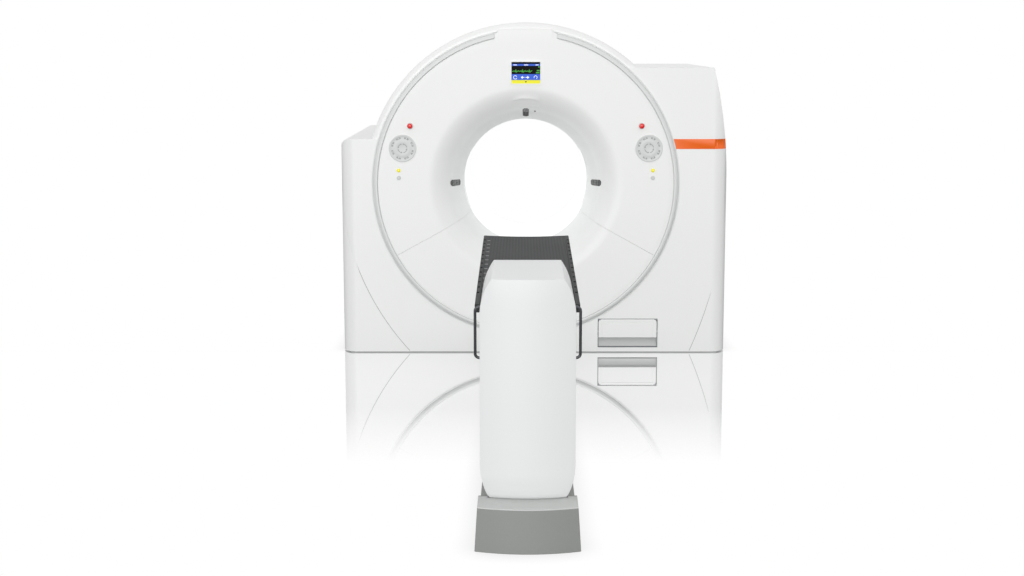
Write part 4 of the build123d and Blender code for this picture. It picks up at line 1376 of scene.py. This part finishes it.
    def _windows(self, ring: RingCover) -> None:
        """Ribbed laser windows and the oval sensor panel, laid on the funnel.

        Args:
            ring: the cover that carries them.
        """
        ends = 1 - self.panel_straight
        panel = patch("sensor_panel_skin", ring, 90, self.panel_spot, self.panel_lift,
                      lambda u: math.sqrt(1 - (max(abs(u) - self.panel_straight, 0.0) / ends) ** 2))
        dress(panel, COVER, "gantry", "cover_white", "sensor_panel")
        dot = patch("sensor_eye", ring, self.eye_heading, self.eye_spot, self.eye_lift,
                    lambda u: math.sqrt(1 - u * u))
        dress(dot, LASER_RIB, "gantry", "laser_dark")
        glass, ribs = [], []
        for heading, skew in self.laser_skews:
            glass.append(patch("laser", ring, heading, self.laser_spot, self.laser_lift,
                               lambda u: 1 - self.laser_draw * abs(u) ** 3, skew))
            for step in range(self.rib_count):
                spot = (self.rib_start + self.rib_pitch * step, self.laser_half, self.rib_half)
                ribs.append(patch("laser_rib", ring, heading, spot, self.rib_lift, lambda u: 1.0, skew))
            for across in (-self.laser_half, 0.0, self.laser_half):
                turn = math.degrees(across / self.laser_radius)
                ribs.append(patch("laser_rib", ring, heading + turn, self.rail_spot, self.rail_lift,
                                  lambda u: 1.0, skew))
        dress(join("laser_windows_skin", glass), LASER, "gantry", "laser_dark", "laser_windows")
        dress(join("laser_ribs", ribs), LASER_RIB, "gantry", "laser_dark")


# Patient table


@dataclass
class Tower:
    """Upright tower of the table, bowed in plan, drawn in at its foot and curved at its shoulders."""

    front: float = -3.830
    back: float = -3.381
    low: float = 0.176
    top: float = 1.043
    half: float = 0.183
    foot_half: float = 0.147
    foot_rise: float = 0.150
    top_half: float = 0.137
    shoulder_rise: float = 0.143
    tuck: float = 0.055
    tuck_rise: float = 0.110
    bow: float = 0.028
    edge: float = 0.010
    wall_slope: float = 0.3
    rear_edge: float = 0.002
    handle_inset: float = 0.0125
    handle_stretch: float = 0.017
    handle_middle: float = 0.825

    def width_at(self, level: float) -> float:
        """Half width at a height: each end draws in along an arc that leaves the upright side smoothly.

        Args:
            level: height over the floor.

        Returns:
            Half the width there.
        """
        hip, shoulder = self.low + self.foot_rise, self.top - self.shoulder_rise
        if level < hip:
            inward, rise, past = self.half - self.foot_half, self.foot_rise, hip - level
        elif level > shoulder:
            inward, rise, past = self.half - self.top_half, self.shoulder_rise, level - shoulder
        else:
            return self.half
        radius = (inward ** 2 + rise ** 2) / (2 * inward)
        return self.half - radius + math.sqrt(radius ** 2 - past ** 2)

    def outline(self) -> list[Point]:
        """Front view, anticlockwise from the middle of the foot.

        Returns:
            The points in order.
        """
        hip, shoulder = self.low + self.foot_rise, self.top - self.shoulder_rise
        levels = evenly(self.low, hip, 14) + evenly(hip, shoulder, 6)[1:6] + evenly(shoulder, self.top, 16)
        right = [(0.0, self.low)] + [(self.width_at(z), z) for z in levels]
        return right + [(0.0, self.top)] + [(-x, z) for x, z in right[:0:-1]]

    def _shape_front(self, piece: bpy.types.Object) -> None:
        """Cut the front into a grid, bow it and curve it under at the foot.

        Args:
            piece: the upright block.
        """
        rise = self.low + self.tuck_rise
        levels = [self.low + self.tuck_rise * (1 - math.cos(math.pi / 2 * i / 12)) for i in range(1, 13)]
        levels += evenly(rise, self.top, 8)[1:8]
        cuts = [((0, 0, z), (0, 0, 1)) for z in levels]
        cuts += [((self.half * i / 9, 0, 0), (1, 0, 0)) for i in range(-8, 9)]
        for place, way in cuts:
            pick_faces(piece, lambda f: faces_front(f) or f.normal.z > FACING)
            bpy.ops.mesh.bisect(plane_co=place, plane_no=way)
            close_edit()
        for vertex in piece.data.vertices:
            if vertex.co.y > self.front + 10 * MERGE:
                continue
            vertex.co.y += self.bow * (vertex.co.x / self.half) ** 2
            if vertex.co.z < rise:
                drop = min((rise - vertex.co.z) / self.tuck_rise, 1.0)
                vertex.co.y += self.tuck * (1 - math.sqrt(1 - drop * drop))

    def _round_front(self, piece: bpy.types.Object) -> None:
        """Round the edge between the shaped front and the walls.

        Args:
            piece: the tower with its front shaped.
        """
        open_edit(piece, Pick.EDGES)
        bpy.ops.mesh.select_all(action="DESELECT")
        close_edit()
        rim, wall = set(), set()
        for face in piece.data.polygons:
            if face.normal.y < -self.wall_slope:
                rim.update(face.edge_keys)
            elif face.normal.y < self.wall_slope:
                wall.update(face.edge_keys)
        for line in piece.data.edges:
            line.select = line.key in rim and line.key in wall
        bpy.ops.object.mode_set(mode="EDIT")
        bpy.ops.mesh.bevel(offset=self.edge, segments=5, affect="EDGES", clamp_overlap=True)
        close_edit()
        tidy_mesh(piece)
        smooth(piece, 32)

    def build(self) -> None:
        """Make the tower shell, its rear cover and the handles at its sides."""
        piece = slab("tower_skin", self.outline(), self.front, self.back)
        self._shape_front(piece)
        self._round_front(piece)
        dress(piece, TOWER, "table_carriage", "tower_white", "tower_shell")
        cover = skin_of("tower_rear_cover")
        for vertex in cover.data.vertices:
            if abs(vertex.co.x) > self.foot_half * 0.9:
                level = min(max(vertex.co.z, self.low), self.top)
                vertex.co.x = math.copysign(self.width_at(level), vertex.co.x)
        soften(cover, self.rear_edge)
        dress(cover, TOWER, "table_carriage", "tower_white", "tower_rear_cover")
        handles = skin_of("handles")
        for vertex in handles.data.vertices:
            vertex.co.x -= math.copysign(self.handle_inset, vertex.co.x)
            if vertex.co.z > self.handle_middle:
                vertex.co.z += self.handle_stretch
        smooth(handles, 50)
        dress(handles, STEEL_DARK, "table_carriage", "handle_metal", "handles")


@dataclass
class PalletTray:
    """Dark carbon pallet, level on top and curved beneath, between two rails with plug-in points."""

    head_y: float = -1.557
    foot_y: float = -3.363
    top: float = 0.872
    head_half: float = 0.2115
    foot_half: float = 0.195
    dip: float = 0.006
    seat_dip: float = 0.040
    seat_half: float = 0.235
    thickness: float = 0.024
    edge: float = 0.003
    # The head band runs between these distances from the pallet's head
    band: Point = (0.030, 0.004)
    band_lift: float = 0.0006
    band_depth: float = 0.001
    rail_width: float = 0.020
    rail_head_y: float = -1.610
    rail_head_half: float = 0.215
    rail_foot_half: float = 0.203
    plug_count: int = 13
    plug_start: float = -1.7205
    plug_pitch: float = 0.1226
    plug_size: Point = (0.012, 0.014)
    plug_share: float = 0.62
    plug_root: float = 0.001
    plug_proud: float = 0.0012
    plug_rim: float = 0.002
    plug_well: float = 0.0008
    tick_size: Point = (0.016, 0.010)
    tick_inset: float = 0.010
    tick_behind: float = 0.018
    tick_root: float = 0.002
    tick_proud: float = 0.0006

    def half_at(self, y: float) -> float:
        """Half width of the pallet at a depth."""
        share = (y - self.foot_y) / (self.head_y - self.foot_y)
        return self.foot_half + (self.head_half - self.foot_half) * share

    def height_at(self, x: float, dip: float) -> float:
        """Height of a face that dips towards the middle, at a distance from it."""
        radius = (self.seat_half ** 2 + dip ** 2) / (2 * dip)
        return self.top - dip + radius - math.sqrt(radius ** 2 - x * x)

    def build(self) -> None:
        """Make the pallet, its head band, the rails and the marks along them."""
        dress(self._sheet("pallet_skin", self.foot_y, self.head_y, 0.0, self.thickness), PALLET,
              "table_lift", "pallet_dark", "pallet")
        band = self._sheet("pallet_band", self.head_y - self.band[0], self.head_y - self.band[1],
                           self.band_lift, self.band_depth)
        dress(band, RAIL, "table_lift", "pallet_dark")
        dress(self._rails(), RAIL, "table_lift", "rail_dark", "side_rails")
        plugs, ticks = [], []
        for step in range(self.plug_count):
            y = self.plug_start - step * self.plug_pitch
            for side in Side:
                plugs.append(self._plug(side.value * (self.half_at(y) + self.rail_width * self.plug_share), y))
            ticks.append(self._tick(-self.half_at(y) + self.tick_inset, y))
        dress(join("rail_plugs", plugs), BLACK, "table_lift", "rail_dark")
        dress(join("pallet_ticks", ticks), PALE_MARK, "table_lift", "pallet_dark")

    def _rails(self) -> bpy.types.Object:
        """Rails drawn along the pallet's sides up to its head.

        Returns:
            The shaped rails.
        """
        rails = skin_of("side_rails")
        run = self.rail_head_y - self.foot_y
        for vertex in rails.data.vertices:
            share = (vertex.co.y - self.foot_y) / run
            solid_half = self.rail_foot_half + (self.rail_head_half - self.rail_foot_half) * share
            if vertex.co.y > self.rail_head_y - 0.01:
                vertex.co.y = self.head_y
            vertex.co.x -= math.copysign(solid_half - self.half_at(vertex.co.y), vertex.co.x)
        soften(rails, self.edge)
        return rails

    def _sheet(self, name: str, y_low: float, y_high: float, lift: float, depth: float) -> bpy.types.Object:
        """Strip of the pallet.

        Args:
            name: the new piece's name.
            y_low: its foot end.
            y_high: its head end.
            lift: height off the pallet's top.
            depth: thickness downwards; the full one gets the curved underside.

        Returns:
            The new closed piece.
        """
        piece = flat_grid(name, 40, 24)
        for vertex in piece.data.vertices:
            y = y_low + (y_high - y_low) * (vertex.co.y + 1) / 2
            x = vertex.co.x * self.half_at(y)
            vertex.co = (x, y, self.height_at(x, self.dip) + lift)
        count = len(piece.data.vertices)
        thicken(piece, depth, -1.0)
        if depth == self.thickness:
            for under, over in zip(list(piece.data.vertices)[count:], piece.data.vertices):
                under.co = (over.co.x, over.co.y, self.height_at(over.co.x, self.seat_dip) - depth)
        soften(piece, min(self.edge, depth * 0.3))
        return piece

    def _plug(self, x: float, y: float) -> bpy.types.Object:
        """Square black insert let into a rail.

        Args:
            x: its middle across.
            y: its middle along the rail.

        Returns:
            The new closed piece.
        """
        piece = flat_box("rail_plug", (x, y), self.plug_size, self.top - self.plug_root,
                         self.top + self.plug_proud)
        pick_faces(piece, lambda f: f.normal.z > FACING)
        bpy.ops.mesh.inset(thickness=self.plug_rim)
        extrude((0, 0, -self.plug_well))
        close_edit()
        soften(piece, 0.0005, 1)
        return piece

    def _tick(self, x: float, y: float) -> bpy.types.Object:
        """Pale printed tick on the pallet beside a plug.

        Args:
            x: its middle across.
            y: middle of the plug beside it.

        Returns:
            The new closed piece.
        """
        level = self.height_at(x, self.dip)
        piece = flat_box("tick", (x, y - self.tick_behind), self.tick_size, level - self.tick_root,
                         level + self.tick_proud)
        soften(piece, 0.0004, 1)
        return piece


@dataclass
class TableBase:
    """Floor base of the table with its pale, bowed nose ledge."""

    half: float = 0.2
    nose_y: float = -3.87
    bow_more: float = 0.014
    reach_more: float = 0.011
    rise_more: float = 0.004
    neck_y: float = -3.742
    neck: float = 0.010
    wall_x: float = 0.17
    ledge_z: float = 0.1
    step: float = 0.001
    edge: float = 0.006
    ledge_edge: float = 0.0025

    def _draw_nose(self, piece: bpy.types.Object) -> None:
        """Bow the nose out a little further and lift its ledge.

        Args:
            piece: the base or its ledge.
        """
        for vertex in piece.data.vertices:
            if vertex.co.y < self.nose_y:
                vertex.co.y += self.bow_more * (vertex.co.x / self.half) ** 2 - self.reach_more
            if vertex.co.y < self.neck_y and vertex.co.z > self.ledge_z:
                vertex.co.z += self.rise_more

    def build(self) -> None:
        """Shape the base, narrow behind its nose, and the ledge on it."""
        base = skin_of("table_base")
        for place in (self.neck_y - self.step, self.neck_y + self.step):
            open_edit(base)
            bpy.ops.mesh.bisect(plane_co=(0, place, 0), plane_no=(0, 1, 0))
            close_edit()
        for vertex in base.data.vertices:
            if vertex.co.y > self.neck_y and abs(vertex.co.x) > self.wall_x:
                vertex.co.x -= math.copysign(self.neck, vertex.co.x)
        ledge = skin_of("nose_plate")
        for piece, width in ((base, self.edge), (ledge, self.ledge_edge)):
            self._draw_nose(piece)
            soften(piece, width)
        dress(base, BASE, "gantry", "base_grey", "table_base")
        dress(ledge, LEDGE, "gantry", "ledge_grey", "nose_plate")


# Inner pieces that keep their solids and get a finish
INNER_FINISHES: dict[Finish, tuple[str, ...]] = {
    FRAME_PAINT: ("base_frame", "mast", "pallet_frame", "lift_bracket"),
    CASTING: ("stator_frame", "rear_ring_support", "rotor_disc"),
    STEEL: ("bearing_outer", "bearing_inner", "lift_screw", "linear_rails", "flap_hinge_pin"),
    WINDING: ("drive_stator", "motor_track", "brush_block"),
    UNIT: ("tube_housing", "generator", "cooler", "arc_detector", "rear_detector_ring"),
    ALUMINIUM: ("carriage", "drive_ring", "collimator"),
    COPPER: ("slip_ring",),
    CASTING_DARK: ("balance_weight",),
    RUBBER: ("levelling_feet",),
}


def finish_inner_pieces() -> None:
    """Give every carried-over solid its material."""
    for finish, nodes in INNER_FINISHES.items():
        for node in nodes:
            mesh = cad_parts[node].data
            mesh.materials.clear()
            mesh.materials.append(finish.material())
            LOG.info("solid %s in %s", node, finish.name)


# Studio


@dataclass
class Studio:
    """Pale floor, one soft lamp, white surround and the camera."""

    camera_place: Place = (-0.020, -8.661, 1.935)
    pitch: float = 82.77
    lens: float = 46.1
    shift: Point = (-0.0103, -0.08)
    mirror_end: float = -2.8
    mirror_full: float = -1.9
    mirror_share: float = 0.85
    mirror_behind: float = 0.1
    mirror_fade: float = 0.1
    floor_code: str = "8E8F8F"
    contact_reach: float = 0.10
    contact_painted_shade: float = 0.72
    surround: float = 0.78
    lamp_from: Place = (-0.16, -1.0, 0.06)
    lamp_spread: float = 40.0
    lamp_strength: float = 1.38

    def build(self) -> None:
        """Set up all that surrounds the object."""
        bpy.context.scene.view_settings.view_transform = "Standard"
        self._floor()
        self._world()
        self._lamp()
        self._camera()

    def _floor(self) -> None:
        """Polished pale vinyl: white to the camera with a painted contact shadow near the object, and a mirror
        image that fades away from the object.
        """
        start_clean()
        bpy.ops.mesh.primitive_plane_add(size=60.0, location=(0, 0, 0))
        floor = bpy.context.object
        floor.name = "studio_floor"
        made = bpy.data.materials.new("polished_vinyl_floor")
        made.use_nodes = True
        tree = made.node_tree
        tree.nodes.clear()
        place = add_node(tree, "ShaderNodeTexCoord").outputs["Object"]
        split = add_node(tree, "ShaderNodeSeparateXYZ", {"Vector": place})
        weight = add_node(tree, "ShaderNodeMapRange", {
            "Value": split.outputs["Y"], "From Min": self.mirror_end, "From Max": self.mirror_full,
            "To Min": 0.0, "To Max": self.mirror_share}).outputs[0]
        front = add_node(tree, "ShaderNodeMapRange", {
            "Value": split.outputs["Y"], "From Min": PANEL_Y, "From Max": PANEL_Y + self.mirror_fade,
            "To Min": 1.0, "To Max": self.mirror_behind}).outputs[0]
        weight = add_node(tree, "ShaderNodeMath", {0: weight, 1: front}, operation="MULTIPLY").outputs[0]
        # Painted contact shadow: ambient occlusion darkens the camera's white floor near the object
        near = add_node(tree, "ShaderNodeAmbientOcclusion", {"Distance": self.contact_reach}).outputs["AO"]
        level = add_node(tree, "ShaderNodeMapRange",
                         {"Value": near, "To Min": self.contact_painted_shade, "To Max": 1.0}).outputs[0]
        white = add_node(tree, "ShaderNodeEmission", {"Color": (1, 1, 1, 1), "Strength": level})
        mirror = add_node(tree, "ShaderNodeBsdfGlossy", {"Color": (1, 1, 1, 1), "Roughness": 0.02})
        seen = add_node(tree, "ShaderNodeMixShader", {0: weight, 1: white.outputs[0], 2: mirror.outputs[0]})
        plain = add_node(tree, "ShaderNodeBsdfDiffuse", {"Color": linear(self.floor_code)})
        camera = add_node(tree, "ShaderNodeLightPath").outputs["Is Camera Ray"]
        both = add_node(tree, "ShaderNodeMixShader", {0: camera, 1: plain.outputs[0], 2: seen.outputs[0]})
        add_node(tree, "ShaderNodeOutputMaterial", {"Surface": both.outputs[0]})
        floor.data.materials.append(made)

    def _world(self) -> None:
        """Even surround, white to the camera and in reflections."""
        world = bpy.data.worlds.new("studio_surround")
        bpy.context.scene.world = world
        world.use_nodes = True
        tree = world.node_tree
        tree.nodes.clear()
        path = add_node(tree, "ShaderNodeLightPath").outputs
        seen = path["Is Camera Ray"]
        for ray in ("Is Glossy Ray", "Is Transmission Ray"):
            seen = add_node(tree, "ShaderNodeMath", {0: seen, 1: path[ray]}, operation="MAXIMUM").outputs[0]
        strength = add_node(tree, "ShaderNodeMapRange",
                            {"Value": seen, "To Min": self.surround, "To Max": 1.0}).outputs[0]
        light = add_node(tree, "ShaderNodeBackground", {"Color": (1, 1, 1, 1), "Strength": strength})
        add_node(tree, "ShaderNodeOutputWorld", {"Surface": light.outputs[0]})

    def _lamp(self) -> None:
        """Broad, far soft light from the front that reaches near and far pieces alike, without shadows."""
        lamp = bpy.data.lights.new("studio_front", "SUN")
        lamp.angle = math.radians(self.lamp_spread)
        lamp.energy = self.lamp_strength
        lamp.use_shadow = False
        holder = bpy.data.objects.new("studio_front", lamp)
        holder.rotation_euler = (-Vector(self.lamp_from)).to_track_quat("-Z", "Y").to_euler()
        bpy.context.scene.collection.objects.link(holder)

    def _camera(self) -> None:
        """Camera at the photograph's viewing angle."""
        camera = bpy.data.cameras.new("studio_camera")
        camera.sensor_width = 36.0
        camera.lens = self.lens
        camera.shift_x, camera.shift_y = self.shift
        camera.clip_end = 200.0
        holder = bpy.data.objects.new("studio_camera", camera)
        holder.location = self.camera_place
        holder.rotation_euler = (math.radians(self.pitch), 0, 0)
        bpy.context.scene.collection.objects.link(holder)
        bpy.context.scene.camera = holder


def main() -> None:
    """Build the sub-assemblies in order."""
    logging.basicConfig(level=logging.INFO, format="%(name)s: %(message)s")
    finish_inner_pieces()
    ring = RingCover()
    ring.build()
    Housing().build()
    Display().build()
    RingControls().build(ring)
    TableBase().build()
    Tower().build()
    PalletTray().build()
    Studio().build()
    start_clean()


if __name__ == "__main__":
    main()
